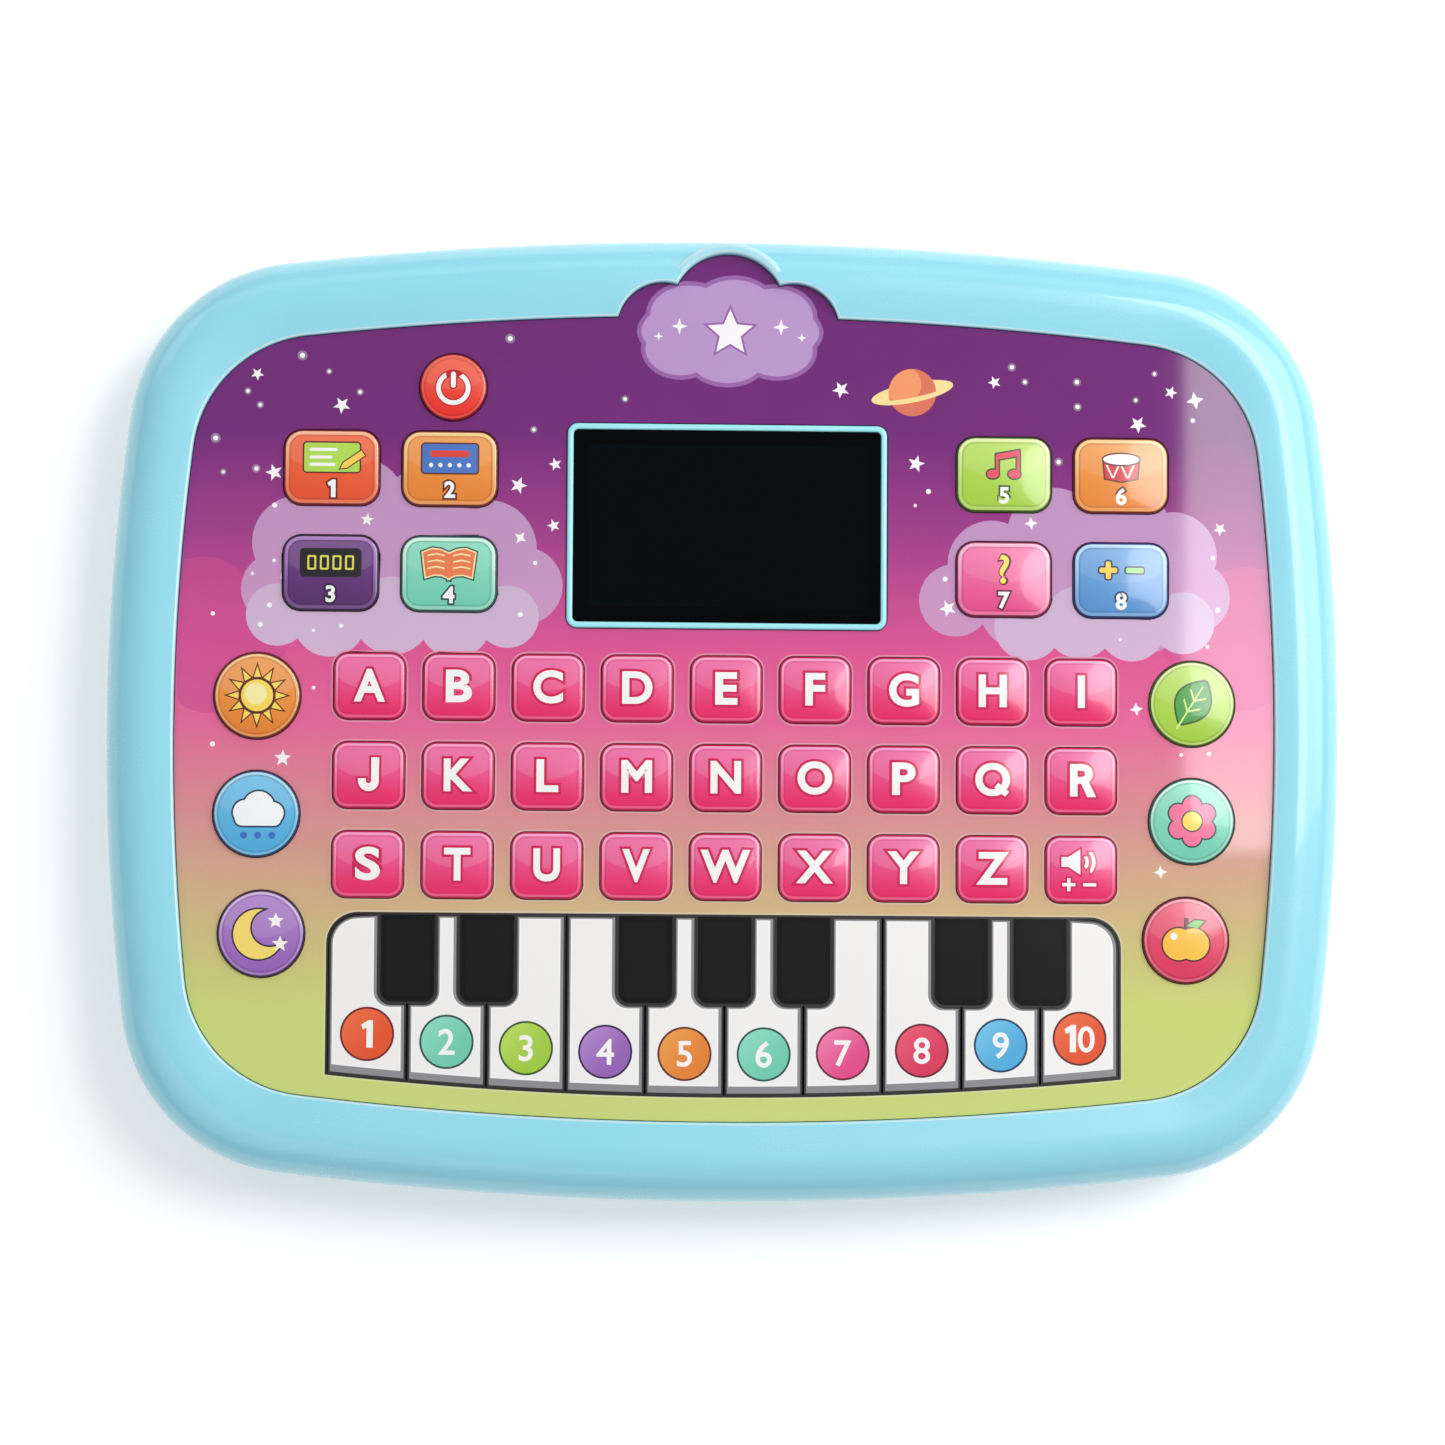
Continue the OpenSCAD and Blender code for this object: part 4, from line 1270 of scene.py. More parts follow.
def panel_piece():
    """The printed sheet: one opening for each key and one for the window's frame."""
    holes = key_holes(KEY_GAP)
    openings = [white_ring(i, 0.0) for i in range(len(DISCS))]
    window = rounded(61.9, 39.9, 2.3, (0, WINDOW_Y), steps=6)
    guards = key_holes(KEY_GAP + length_of("panel", "halo"))
    prints = cloud_prints() + planet_prints() + star_prints(holes) + badge_prints()
    prints += filled(HALO, guards[:LETTER_COUNT]) + keyboard_prints()
    rings = guards[LETTER_COUNT:] + [rounded(63.1, 41.1, 2.9, (0, WINDOW_Y), steps=6)]
    sheet = Sheet()
    sheet.flat(notched(0.15), FILM_Z, holes=[*holes, window, *openings], rings=rings, prints=prints)
    for group, paint in ((holes, GAP_WALL), (openings, DARK)):
        for hole in group:
            sheet.wall(hole, FILM_Z, FILM_Z - 1.2, paint)
    made = sheet.piece("face_panel_print", panel_paint(), (0, FACE_Y), smooth=30)
    ridden(made, "case", "printed_film", "face_panel")


# ---------------------------------------------------------------- housings
# the groove where the shells meet, from its floor outwards: how deep it is, and how far from the split
GROOVE = [(0.3, 0.12), (0.08, 0.2), (0.0, 0.4)]


def case_ring(inset):
    """The case's outline round the middle of the face, shrunk by inset."""
    return [(x, y + CASE_UP) for x, y in CASE.ring(inset)]


def rim_height(inset, roll=8.0):
    """Level of the front shell's skin, this far inside the case's outline."""
    if inset < roll:
        return CREST_Z - roll + math.sqrt(max(0.0, roll ** 2 - (roll - max(inset, 0.0)) ** 2))
    return CREST_Z - 0.55 * ((inset - roll) / 5.0) ** 2


def front_piece():
    """The domed rim, its outer wall down to the split, and the lip and wall of the recess."""
    sheet = Sheet()
    lip = length_of("housing", "lip")

    def height(x, y):
        return rim_height(CASE.depth(x, y - CASE_UP))
    edge = notched(-lip)
    insets = [0.04, 0.16, 0.36, 0.64, 1.0, 1.45, 2.0, 2.65, 3.4, 4.2, 5.1, 6.0, 7.0, 8.0, 9.0, 10.0]
    sheet.flat(case_ring(0.0), height, holes=[edge], rings=[case_ring(i) for i in insets])
    sheet.stack([raised(case_ring(GROOVE[0][0]), SPLIT_Z + 0.02),
                 *[raised(case_ring(i), SPLIT_Z + z) for i, z in GROOVE],
                 raised(case_ring(0.0), rim_height(0.0))])
    loops = []
    for step in range(7):
        a = math.radians(90 * step / 6)
        grow = lip - lip * math.sin(a)
        drop = lip * (1 - math.cos(a))
        loops.append([(x, y, height(*e) - drop) for (x, y), e in zip(notched(-grow), edge)])
    loops.append(raised(notched(0.0), FILM_Z - 0.4))
    # a painted highlight runs along the lip, as a pale line
    pale = [0.0, 1.0, 1.0, 0.6, 0.0, 0.0, 0.0, 0.0]
    for outer, inner, outer_pale, inner_pale in zip(loops, loops[1:], pale, pale[1:]):
        sheet.strip(inner, outer, extra=(inner_pale, outer_pale))
    collar(sheet)
    shell = sheet.piece("front_housing", [shell_plastic()], (0, FACE_Y), smooth=38)
    ridden(shell, "case", "shell_blue", "front_shell")


def window_piece():
    """The raised frame round the window."""
    sheet = Sheet()
    foot, top = FILM_Z - 0.4, FILM_Z + 0.5
    w, h, r = 61.5, 39.5, 2.0
    section = [(0.0, foot), (0.0, top - 0.32), (0.09, top - 0.1), (0.32, top), (0.85, top),
               (1.07, top - 0.1), (1.15, top - 0.32), (1.15, FILM_Z - 1.0)]
    sheet.stack([raised(rounded(w - 2 * i, h - 2 * i, r - i * 0.9, (0, WINDOW_Y), 8), z) for i, z in section])
    bezel = sheet.piece("window_frame", [frame_plastic()], (0, FACE_Y), smooth=50)
    ridden(bezel, "case", "shell_blue")


def collar(sheet):
    """Rounded ridge round the middle lobe, dying into the rim at its two ends."""
    # distance from the lobe, level below the crest, and how strong the painted highlight on it is
    section = [(0.0, -1.9, 0.0), (0.0, -0.75, 0.0), (0.12, -0.42, 0.3), (0.38, -0.14, 0.9),
               (0.75, -0.02, 0.5), (1.05, 0.0, 0.1), (1.35, -0.02, 0.5), (1.72, -0.14, 0.9),
               (1.98, -0.42, 0.3), (2.1, -0.75, 0.0), (2.1, -3.6, 0.0)]
    start = heading(LOBE, meet(SIDE_LOBE, SIDE_LOBE_R, LOBE, LOBE_R, True)) + 0.5
    steps, n = 64, len(section)
    points, extra = [], []
    for i in range(steps + 1):
        a = start + (180 - 2 * start) * i / steps
        near = min(a - start, 180 - start - a)
        sink = 1.5 * max(0.0, 1 - near / 14) ** 2
        c, s = math.cos(math.radians(a)), math.sin(math.radians(a))
        for out, level, pale in section:
            r = LOBE_R + out
            points.append((LOBE[0] + r * c, LOBE[1] + r * s, CREST_Z + level - sink))
            # the painted highlight fades out towards the collar's two ends
            extra.append(pale * min(1.0, near / 6))
    faces = [[(i + 1) * n + j, (i + 1) * n + j + 1, i * n + j + 1, i * n + j]
             for i in range(steps) for j in range(n - 1)]
    sheet.add(points, faces, extra=extra)


# places on the underside, round the middle of the face, and the depths of its hollows above the floor
SCREWS = [(x, y) for x in (-92, 92) for y in (-67, 67)] + [(x, y) for x in (-40, 40) for y in (-80.5, 80.5)]
FEET = [(x, y) for x in (-84, 84) for y in (-60, 60)]
BAY, DOOR_W, DOOR_H = (14, -8), 60, 42
DOOR_SCREW = (BAY[0], BAY[1] + DOOR_H / 2 - 5)
HOOKS = (-17, 17)  # where the door's hooks are, from the bay's middle
SPEAKER, SLOT_W, SLOT_PITCH, GRILLE_R = (-62, -8), 2.2, 4.4, 17
SLOT_DEEP, WELL_DEEP, SEAT_DEEP, HATCH_DEEP, BAY_DEEP = 2.2, 5.0, 1.5, 3.4, 13.4


def slots():
    """The grille's slots, each as long as the circle round them lets it be."""
    made = []
    rows = int(GRILLE_R // SLOT_PITCH)
    for n in range(-rows, rows + 1):
        half = math.sqrt(GRILLE_R ** 2 - (n * SLOT_PITCH) ** 2)
        at = (SPEAKER[0], SPEAKER[1] + n * SLOT_PITCH)
        made.append(rounded(2 * half, SLOT_W, SLOT_W / 2 - 0.001, at, steps=6))
    return made


def back_piece():
    """The tray: underside with its rolled edge, grille, screw wells, battery bay and feet."""
    sheet = Sheet()
    edge, round_off = 8.0, length_of("housing", "mouth")
    steep = 1.6  # up to here the rolled edge belongs to the wall, from here on to the underside

    def under(x, y):
        """Level of the underside, which rolls up towards the case's edge."""
        depth = min(edge, CASE.depth(x, y - CASE_UP))
        return FLOOR_Z + edge - math.sqrt(edge ** 2 - (edge - depth) ** 2)
    insets = [edge * (1 - math.cos(math.radians(a))) for a in range(0, 91, 6)]
    wall_insets = [i for i in insets if i < steep]
    rings = [[(x, y, under(x, y)) for x, y in case_ring(max(i, 0.002))] for i in reversed(wall_insets)]
    rings += [raised(case_ring(i), SPLIT_Z - z) for i, z in reversed(GROOVE)]
    sheet.stack(rings + [raised(case_ring(GROOVE[0][0]), SPLIT_Z + 0.05)])
    grille, wells = slots(), [circle(3.4, p, 28) for p in SCREWS]
    seat = rounded(DOOR_W + 0.7, DOOR_H + 0.7, 3.35, BAY, steps=8)
    holes = [*grille, *wells, seat]
    depths = [SLOT_DEEP] * len(grille) + [WELL_DEEP] * len(wells) + [SEAT_DEEP]
    soft = [shrunk(hole, -round_off) for hole in holes]
    # rings close round each mouth, and a grid, keep the shading of the large flat even
    guards = [shrunk(hole, -round_off - 0.35) for hole in holes]
    grid = np.array([(x, y) for x in np.arange(-102, 103, 6) for y in np.arange(-78, 79, 6)])
    grid = grid[inside(grid, [case_ring(edge + 1.5)])]
    for hole in holes:
        grid = grid[~inside(grid, [shrunk(hole, -round_off - 1.6)])]
    sheet.flat(case_ring(wall_insets[-1]), under, holes=soft, dots=grid, down=True,
               rings=[case_ring(i) for i in insets if i >= steep] + guards)
    for hole, wide, deep in zip(holes, soft, depths):
        mouth = [(x, y, under(x, y)) for x, y in wide]
        half_way = zip(shrunk(hole, -round_off * 0.3), mouth)
        mid = [(x, y, z + round_off * 0.3) for (x, y), (_, _, z) in half_way]
        throat = [(x, y, z + round_off) for (x, y), (_, _, z) in zip(hole, mouth)]
        for low, high in ((mouth, mid), (mid, throat), (throat, raised(hole, FLOOR_Z + deep))):
            sheet.strip(high, low)
    for well in wells:
        sheet.flat(well, FLOOR_Z + WELL_DEEP, down=True)
    bay_floors(sheet, seat)
    # round feet with a soft edge
    foot = [(5.6, 0.0), (5.88, 0.12), (6.0, 0.4), (6.0, 0.9), (6.3, FLOOR_Z + 0.01)]
    for p in FEET:
        sheet.add(*lathe(foot, p, 40))
    made = sheet.piece("back_housing", [shell_plastic()], (0, FACE_Y), smooth=38)
    ridden(made, "case", "shell_blue", "back_shell")


def bay_floors(sheet, seat):
    """The door's seat with its two hook pockets, and the bay behind it."""
    hatch = rounded(DOOR_W - 4, DOOR_H - 4, 1, BAY, steps=4)
    bay = rounded(52, 35.3, 0.5, BAY, steps=3)
    pockets = [[(BAY[0] + x - 4.5, BAY[1] - 19.8), (BAY[0] + x + 4.5, BAY[1] - 19.8),
                (BAY[0] + x + 4.5, BAY[1] - 15), (BAY[0] + x - 4.5, BAY[1] - 15)] for x in HOOKS]
    sheet.flat(seat, FLOOR_Z + SEAT_DEEP, holes=[hatch, *pockets], down=True)
    sheet.wall(hatch, FLOOR_Z + HATCH_DEEP, FLOOR_Z + SEAT_DEEP)
    sheet.flat(hatch, FLOOR_Z + HATCH_DEEP, holes=[bay], down=True)
    sheet.wall(bay, FLOOR_Z + BAY_DEEP, FLOOR_Z + HATCH_DEEP)
    sheet.flat(bay, FLOOR_Z + BAY_DEEP, down=True)


# ---------------------------------------------------------------- door, screws, cells, speaker, board
def door_piece():
    """The battery door: its plate with a screw sink and finger ribs, and its two hooks."""
    sheet = Sheet()
    back, sink_level, rib_level = FLOOR_Z + 1.3, FLOOR_Z + 0.5, FLOOR_Z + 0.35
    ring = rounded(DOOR_W, DOOR_H, 3, BAY, steps=8)
    hole, sink = (circle(r, DOOR_SCREW, 24) for r in (1.7, 3.0))
    soft = shrunk(ring, 0.3)
    ribs = [rounded(26, 0.9, 0.44, (BAY[0], BAY[1] + 6 - 2.0 * k), steps=3) for k in range(6)]
    wide = [shrunk(rib, -0.25) for rib in ribs]
    sheet.flat(soft, FLOOR_Z, holes=[sink, *wide], rings=[shrunk(ring, 0.55)], down=True)
    for rib, out in zip(ribs, wide):
        sheet.strip(raised(rib, FLOOR_Z), raised(out, FLOOR_Z))
        sheet.wall(rib, rib_level, FLOOR_Z)
        sheet.flat(rib, rib_level, down=True)
    sheet.stack([raised(soft, FLOOR_Z), raised(shrunk(ring, 0.09), FLOOR_Z + 0.09),
                 raised(ring, FLOOR_Z + 0.3), raised(ring, back)])
    sheet.flat(ring, back, holes=[hole])
    sheet.wall(sink, sink_level, FLOOR_Z)
    sheet.flat(sink, sink_level, holes=[hole], down=True)
    sheet.wall(hole, back, sink_level)
    for x in HOOKS:
        left, right, end = BAY[0] + x - 4, BAY[0] + x + 4, BAY[1] - 17.1
        block(sheet, left, right, BAY[1] - 18.7, end, 1.3, 3.6)
        block(sheet, left, right, BAY[1] - 20.8, end, 2.6, 3.6)
    made = sheet.piece("battery_door_plate", [shell_plastic()], (0, FACE_Y), smooth=38)
    ridden(made, "battery_door", "shell_blue", "battery_door")


def block(sheet, x0, x1, y0, y1, z0, z1):
    """A moulded tab with softened edges, above the floor."""
    w, h, at = x1 - x0, y1 - y0, ((x0 + x1) / 2, (y0 + y1) / 2)
    bevel = 0.15
    sheet.stack([raised(rounded(w - 2 * i, h - 2 * i, 0.3, at, 3), FLOOR_Z + z)
                 for i, z in ((bevel, z0), (0.0, z0 + bevel), (0.0, z1 - bevel), (bevel, z1))])
    end = rounded(w - 2 * bevel, h - 2 * bevel, 0.3, at, 3)
    sheet.flat(end, FLOOR_Z + z1)
    sheet.flat(end, FLOOR_Z + z0, down=True)


def screw_steel():
    return once("screw_steel", lambda net: net.finish(
        net.mix(net.noise(1200.0, 3.0), rgb(178, 180, 184), rgb(206, 208, 210)), rough=0.32, spread=0.2,
        metal=1.0, grain=0.01))


def screw_mesh():
    """A pan head with a cross recess, facing down, its seat at the origin; in millimetres."""
    sheet = Sheet()
    head = circle(2.6, steps=32)
    cross = []
    for k in range(4):
        cross += moved([(0.42, -0.42), (1.5, -0.3), (1.5, 0.3)], turn=90 * k)
    profile = [(2.6, 0.0), (2.6, -0.5), (2.45, -0.9), (2.1, -1.2), (1.62, -1.38)]
    loops = [moved(head, size=r / 2.6) for r, _ in profile]
    end, cross_end = -1.43, -0.55  # levels of the head's face and of the cross's floor
    sheet.stack([raised(loop, z) for loop, (_, z) in zip(loops[::-1], profile[::-1])])
    sheet.flat(loops[-1], end, holes=[cross], down=True)
    floor = moved(cross, size=0.55)
    sheet.strip(raised(floor, cross_end), raised(cross, end))
    sheet.flat(floor, cross_end, down=True)
    return sheet


def scattered(name, part, places):
    """Steel copies of a small part on given places, set out by a node tree and made into one mesh."""
    material = screw_steel()
    source = part.piece(name + "_one", [material], smooth=35)
    marks = bpy.data.meshes.new(name)
    marks.from_pydata([(x * MM, (y + FACE_Y) * MM, z * MM) for x, y, z in places], [], [])
    holder = bpy.data.objects.new(name, marks)
    bpy.context.scene.collection.objects.link(holder)
    tree = bpy.data.node_groups.new(name + "_tree", "GeometryNodeTree")

    def doorway(label, way, kind):
        return tree.interface.new_socket(label, in_out=way, socket_type="NodeSocket" + kind)
    doorway("Geometry", "INPUT", "Geometry")
    part_in = doorway("Part", "INPUT", "Object")
    paint_in = doorway("Material", "INPUT", "Material")
    turn_in = doorway("Turn", "INPUT", "Float")
    doorway("Geometry", "OUTPUT", "Geometry")
    start, end, info, stamp, vary, join, real, paint = (tree.nodes.new(kind) for kind in (
        "NodeGroupInput", "NodeGroupOutput", "GeometryNodeObjectInfo", "GeometryNodeInstanceOnPoints",
        "FunctionNodeRandomValue", "ShaderNodeCombineXYZ", "GeometryNodeRealizeInstances",
        "GeometryNodeSetMaterial"))
    vary.data_type = "FLOAT"
    vary.inputs["Seed"].default_value = 4
    info.transform_space = "ORIGINAL"
    for source_node, output, target, socket in (
            (start, "Part", info, 0), (start, "Geometry", stamp, "Points"),
            (info, "Geometry", stamp, "Instance"), (start, "Turn", vary, 3), (vary, 1, join, 2),
            (join, 0, stamp, "Rotation"), (stamp, 0, real, 0), (real, 0, paint, "Geometry"),
            (start, "Material", paint, "Material"), (paint, 0, end, 0)):
        tree.links.new(source_node.outputs[output], target.inputs[socket])
    live = holder.modifiers.new("scatter", "NODES")
    live.node_group = tree
    live[part_in.identifier] = source
    live[paint_in.identifier] = material
    live[turn_in.identifier] = 1.5
    mesh = bpy.data.meshes.new_from_object(holder.evaluated_get(bpy.context.evaluated_depsgraph_get()))
    holder.modifiers.clear()
    holder.data = mesh
    smoothed(mesh, 35)
    bpy.data.objects.remove(source)
    return holder


def screws_pieces():
    case = scattered("case_screw_heads", screw_mesh(), [(x, y, FLOOR_Z + WELL_DEEP) for x, y in SCREWS])
    ridden(case, "case", "speaker_steel")
    door = scattered("door_screw_head", screw_mesh(), [(*DOOR_SCREW, FLOOR_Z + 1.35)])
    ridden(door, "battery_door", "speaker_steel")


def cells_piece():
    """Three cells side by side, every second one turned round."""
    middle = span("batteries")[0]
    pitch, half_long, steps = 11.1, 22.25, 36
    profile = [(3.6, 0.02), (4.9, 0.0), (5.2, 0.25), (5.22, 0.6), (5.08, 0.85), (5.25, 1.1), (5.25, 42.3),
               (5.05, 42.6), (5.2, 42.85), (5.1, 43.2), (4.2, 43.45), (1.95, 43.5), (1.9, 44.4),
               (1.6, 44.5)]
    jacket_band = 5  # the band of the profile that the jacket covers; the rest is steel
    sheet = Sheet()
    for i in range(3):
        y = middle.y + (i - 1) * pitch
        way = 1 if i % 2 else -1
        points, faces = lathe(profile, (0, 0), steps)
        points = [(middle.x + way * (z - half_long), y + way * py, middle.z + px) for px, py, z in points]
        numbers = [0 if k // steps == jacket_band else 1 for k in range(len(faces))]
        sheet.add(points, [face[::-1] for face in faces], numbers)
    made = sheet.piece("battery_cells", [once("cell_jacket", cell_paint), screw_steel()], smooth=35)
    ridden(made, "case", "cell_jacket", "batteries")


def cell_paint(net):
    """A dark jacket whose two ends are golden."""
    side = span("batteries")[0].x * MM
    far = net.maths("ABSOLUTE", net.place()[0] - side)
    band = far.between(0.0120, 0.0124)
    return net.finish(net.mix(band, rgb(40, 42, 48), rgb(196, 148, 58)), rough=0.3, coat=0.3)


def speaker_piece():
    """Paper cone and dust cap in a steel basket, behind the grille."""
    middle = span("speaker")[0]
    base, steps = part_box("speaker")[0].z / MM, 56
    profile = [(0.01, 1.3), (2.5, 1.0), (4.8, 0.7), (6.2, 1.5), (9.0, 1.9), (13.0, 1.4), (15.0, 0.9),
               (15.6, 0.4), (16.6, 0.2), (17.6, 0.5), (18.0, 0.0), (20.0, 0.0), (20.0, 1.6), (16.0, 4.4),
               (11.0, 4.8), (11.0, 8.0), (0.01, 8.0)]
    paints = [0, 0, 0, 1, 1, 1, 2, 2, 2, 3, 3, 3, 3, 3, 3, 3]  # cap, cone, edge and basket
    points, faces = lathe([(r, base + z) for r, z in profile], (middle.x, middle.y), steps)
    faces = faces[:-2]
    sheet = Sheet()
    sheet.add(points, faces, [paints[k // steps] for k in range(len(faces))])
    made = sheet.piece("speaker_unit", [
        plain("cone_cap", rgb(34, 34, 38), 0.35, 0.0),
        plain("cone_paper", rgb(58, 56, 58), 0.8, 0.0, grain=0.04),
        plain("cone_edge", rgb(26, 26, 28), 0.5, 0.0),
        screw_steel()], smooth=30)
    ridden(made, "case", "speaker_steel", "speaker")


def board_paint(net):
    """Green lacquer with lighter tracks, and pale parts above it."""
    lines = net.node("TexVoronoi", {"feature": "DISTANCE_TO_EDGE"}, {"Vector": net.coords, "Scale": 130.0})
    track = 1.0 - Wire(net, lines.outputs[0]).between(0.02, 0.05)
    colour = net.mix(track * 0.5, rgb(24, 92, 56), rgb(52, 134, 84))
    raised_part = net.place()[2].between(0.01845, 0.0186)
    colour = net.mix(raised_part, colour, rgb(198, 196, 190))
    return net.finish(colour, rough=0.4, coat=0.2)


def window_paint(net):
    """Dark gloss, a little darker at the window's border."""
    x, y, _ = net.place()
    mid = WINDOW_Y + FACE_Y
    across = net.maths("MAXIMUM", net.maths("ABSOLUTE", x) / (27.0 * MM),
                       net.maths("ABSOLUTE", y - mid * MM) / (16.0 * MM))
    colour = net.mix(across.between(0.96, 1.0), rgb(2, 9, 12), rgb(1, 2, 3))
    return net.finish(colour, rough=0.07, spread=0.02, grain=0.002, light=0.1, wave=0.6)


def kept_nodes():
    """CAD nodes that stay as they are, with their own finish."""
    for node, name, paint in (("screen_window", "window_gloss", window_paint),
                              ("circuit_board", "board_green", board_paint)):
        held = frame["nodes"][node]
        held.data.materials.clear()
        held.data.materials.append(once(name, paint))


# ---------------------------------------------------------------- stage
# each light's place, turn in degrees, width and length, and share of the softbox power
LIGHTS = {
    "softbox_near": ((0.335, 0.27, 0.95), (0, 0, 0), (0.26, 0.48), 0.26),
    "softbox_right": ((0.89, 0.48, 0.8), (0, 45, 0), (1.0, 0.9), 0.9),
    "softbox_top": ((0.0, 0.9, 0.7), (-52, 0, 0), (1.2, 0.4), 0.08),
    "softbox_left": ((-0.85, 0.75, 0.42), (-40, -45, 0), (0.5, 0.5), 0.08),
    "bounce_low": ((-0.8, -0.8, 1.1), (34, -30, 0), (1.5, 1.5), 0.4),
}


def table_set():
    """A white table, which looks a little brighter than it lights the toy."""
    half = 3.0
    mesh = bpy.data.meshes.new("table")
    corners = [(-half, -half, 0), (half, -half, 0), (half, half, 0), (-half, half, 0)]
    mesh.from_pydata(corners, [], [(0, 1, 2, 3)])
    table = bpy.data.objects.new("table", mesh)
    bpy.context.scene.collection.objects.link(table)
    net = Net("table_white")
    shade = net.node("BsdfPrincipled", {}, {"Base Color": rgb(250, 250, 251), "Roughness": 0.9,
                                            "Specular IOR Level": 0.1})
    path = net.node("LightPath")
    seen = sum(Wire(net, path.outputs[f"Is {kind} Ray"]) for kind in ("Camera", "Glossy", "Transmission"))
    lift = net.node("Emission", {}, {"Color": PURE, "Strength": 0.3})
    both = net.node("AddShader", {}, {0: shade.outputs[0], 1: lift.outputs[0]})
    chosen = net.node("MixShader", {}, {0: seen, 1: shade.outputs[0], 2: both.outputs[0]})
    net.node("OutputMaterial", {}, {0: chosen.outputs[0]})
    mesh.materials.append(net.material)


def stage_set(settings):
    """The table, the room's even light, the softboxes and the camera."""
    table_set()
    scene = bpy.context.scene
    world = scene.world or bpy.data.worlds.new("room")
    scene.world = world
    world.use_nodes = True
    back = world.node_tree.nodes.get("Background") or world.node_tree.nodes.new("ShaderNodeBackground")
    back.inputs[0].default_value = PURE
    back.inputs[1].default_value = settings.room_light
    for name, (place, turn, (wide, tall), share) in LIGHTS.items():
        light = bpy.data.lights.new(name, "AREA")
        light.shape, light.size, light.size_y = "RECTANGLE", wide, tall
        light.energy = settings.softbox_power * share
        lamp = bpy.data.objects.new(name, light)
        lamp.location = place
        lamp.rotation_euler = [math.radians(a) for a in turn]
        scene.collection.objects.link(lamp)
    camera_set(settings)


def camera_set(settings):
    """The camera, above the face, a little to the left of its middle and below it."""
    data = bpy.data.cameras.new("camera")
    data.lens, data.sensor_width = settings.lens, 36.0
    data.clip_start, data.clip_end = 0.05, 20.0
    camera = bpy.data.objects.new("camera", data)
    lean_x, lean_y, roll = (getattr(settings, n) for n in ("lean_x", "lean_y", "roll"))
    away = Vector((-math.sin(lean_x), -math.sin(lean_y), 0))
    away.z = math.sqrt(1 - away.length_squared)
    aim = Vector((-0.69, -0.04 + FACE_Y, 25.0)) * MM
    camera.location = aim + away * settings.distance
    side = (-away).cross(Vector((0, 1, 0))).normalized()
    up = side.cross(-away)
    c, s = math.cos(roll), math.sin(roll)
    right, top = side * c + up * s, up * c - side * s
    camera.rotation_mode = "QUATERNION"
    camera.rotation_quaternion = Matrix((right, top, away)).transposed().to_quaternion()
    bpy.context.scene.collection.objects.link(camera)
    bpy.context.scene.camera = camera
    bpy.context.scene.view_settings.view_transform = "Standard"


# ---------------------------------------------------------------- the add-on
class HousingSettings(bpy.types.PropertyGroup):
    shell: bpy.props.FloatVectorProperty(
        name="Shells", description="Colour of the two moulded shells",
        default=rgb(144, 222, 241), subtype="COLOR", size=4, min=0.0, max=1.0)
    frame: bpy.props.FloatVectorProperty(
        name="Window frame", description="Colour of the frame round the window",
        default=rgb(150, 236, 246), subtype="COLOR", size=4, min=0.0, max=1.0)
    lip: bpy.props.FloatProperty(
        name="Recess lip", description="Radius of the rounded edge of the recess",
        default=0.55 * MM, min=0.1 * MM, max=1.0 * MM, unit="LENGTH", precision=5)
    mouth: bpy.props.FloatProperty(
        name="Mouth rounding", description="Radius of the edges of slots and screw wells",
        default=0.3 * MM, min=0.1 * MM, max=0.6 * MM, unit="LENGTH", precision=5)


class PanelSettings(bpy.types.PropertyGroup):
    night: bpy.props.FloatVectorProperty(
        name="Night", description="Colour of the sky at its top",
        default=rgb(114, 40, 119), subtype="COLOR", size=4, min=0.0, max=1.0)
    dusk: bpy.props.FloatVectorProperty(
        name="Dusk", description="Colour of the sky in its middle",
        default=rgb(230, 104, 153), subtype="COLOR", size=4, min=0.0, max=1.0)
    meadow: bpy.props.FloatVectorProperty(
        name="Meadow", description="Colour of the sky at its bottom",
        default=rgb(204, 216, 122), subtype="COLOR", size=4, min=0.0, max=1.0)
    stars: bpy.props.IntProperty(
        name="Stars", description="How many stars are printed",
        default=60, min=0, max=90, subtype="UNSIGNED")
    planet: bpy.props.FloatProperty(
        name="Planet", description="Radius of the printed planet",
        default=4.6 * MM, min=1.0 * MM, max=6.0 * MM, unit="LENGTH", precision=5)
    halo: bpy.props.FloatProperty(
        name="Halo", description="Width of the pale line round each key",
        default=0.33 * MM, min=0.1 * MM, max=0.8 * MM, unit="LENGTH", precision=5)


class KeySettings(bpy.types.PropertyGroup):
    letter_top: bpy.props.FloatVectorProperty(
        name="Letter key, top", description="Colour at a letter key's top",
        default=rgb(240, 98, 162), subtype="COLOR", size=4, min=0.0, max=1.0)
    letter_low: bpy.props.FloatVectorProperty(
        name="Letter key, foot", description="Colour at a letter key's foot",
        default=rgb(235, 32, 100), subtype="COLOR", size=4, min=0.0, max=1.0)
    letter_line: bpy.props.FloatVectorProperty(
        name="Letter key, line", description="Colour of its outline",
        default=rgb(190, 14, 76), subtype="COLOR", size=4, min=0.0, max=1.0)
    piano_body: bpy.props.FloatVectorProperty(
        name="Piano key", description="Colour of the white piano keys",
        default=rgb(246, 245, 244), subtype="COLOR", size=4, min=0.0, max=1.0)
    letter_height: bpy.props.FloatProperty(
        name="Letters", description="Height of the capitals",
        default=6.1 * MM, min=3.0 * MM, max=7.0 * MM, unit="LENGTH", precision=5)
    digit_height: bpy.props.FloatProperty(
        name="Digits", description="Height of the digits on the mode keys",
        default=3.1 * MM, min=1.5 * MM, max=4.0 * MM, unit="LENGTH", precision=5)


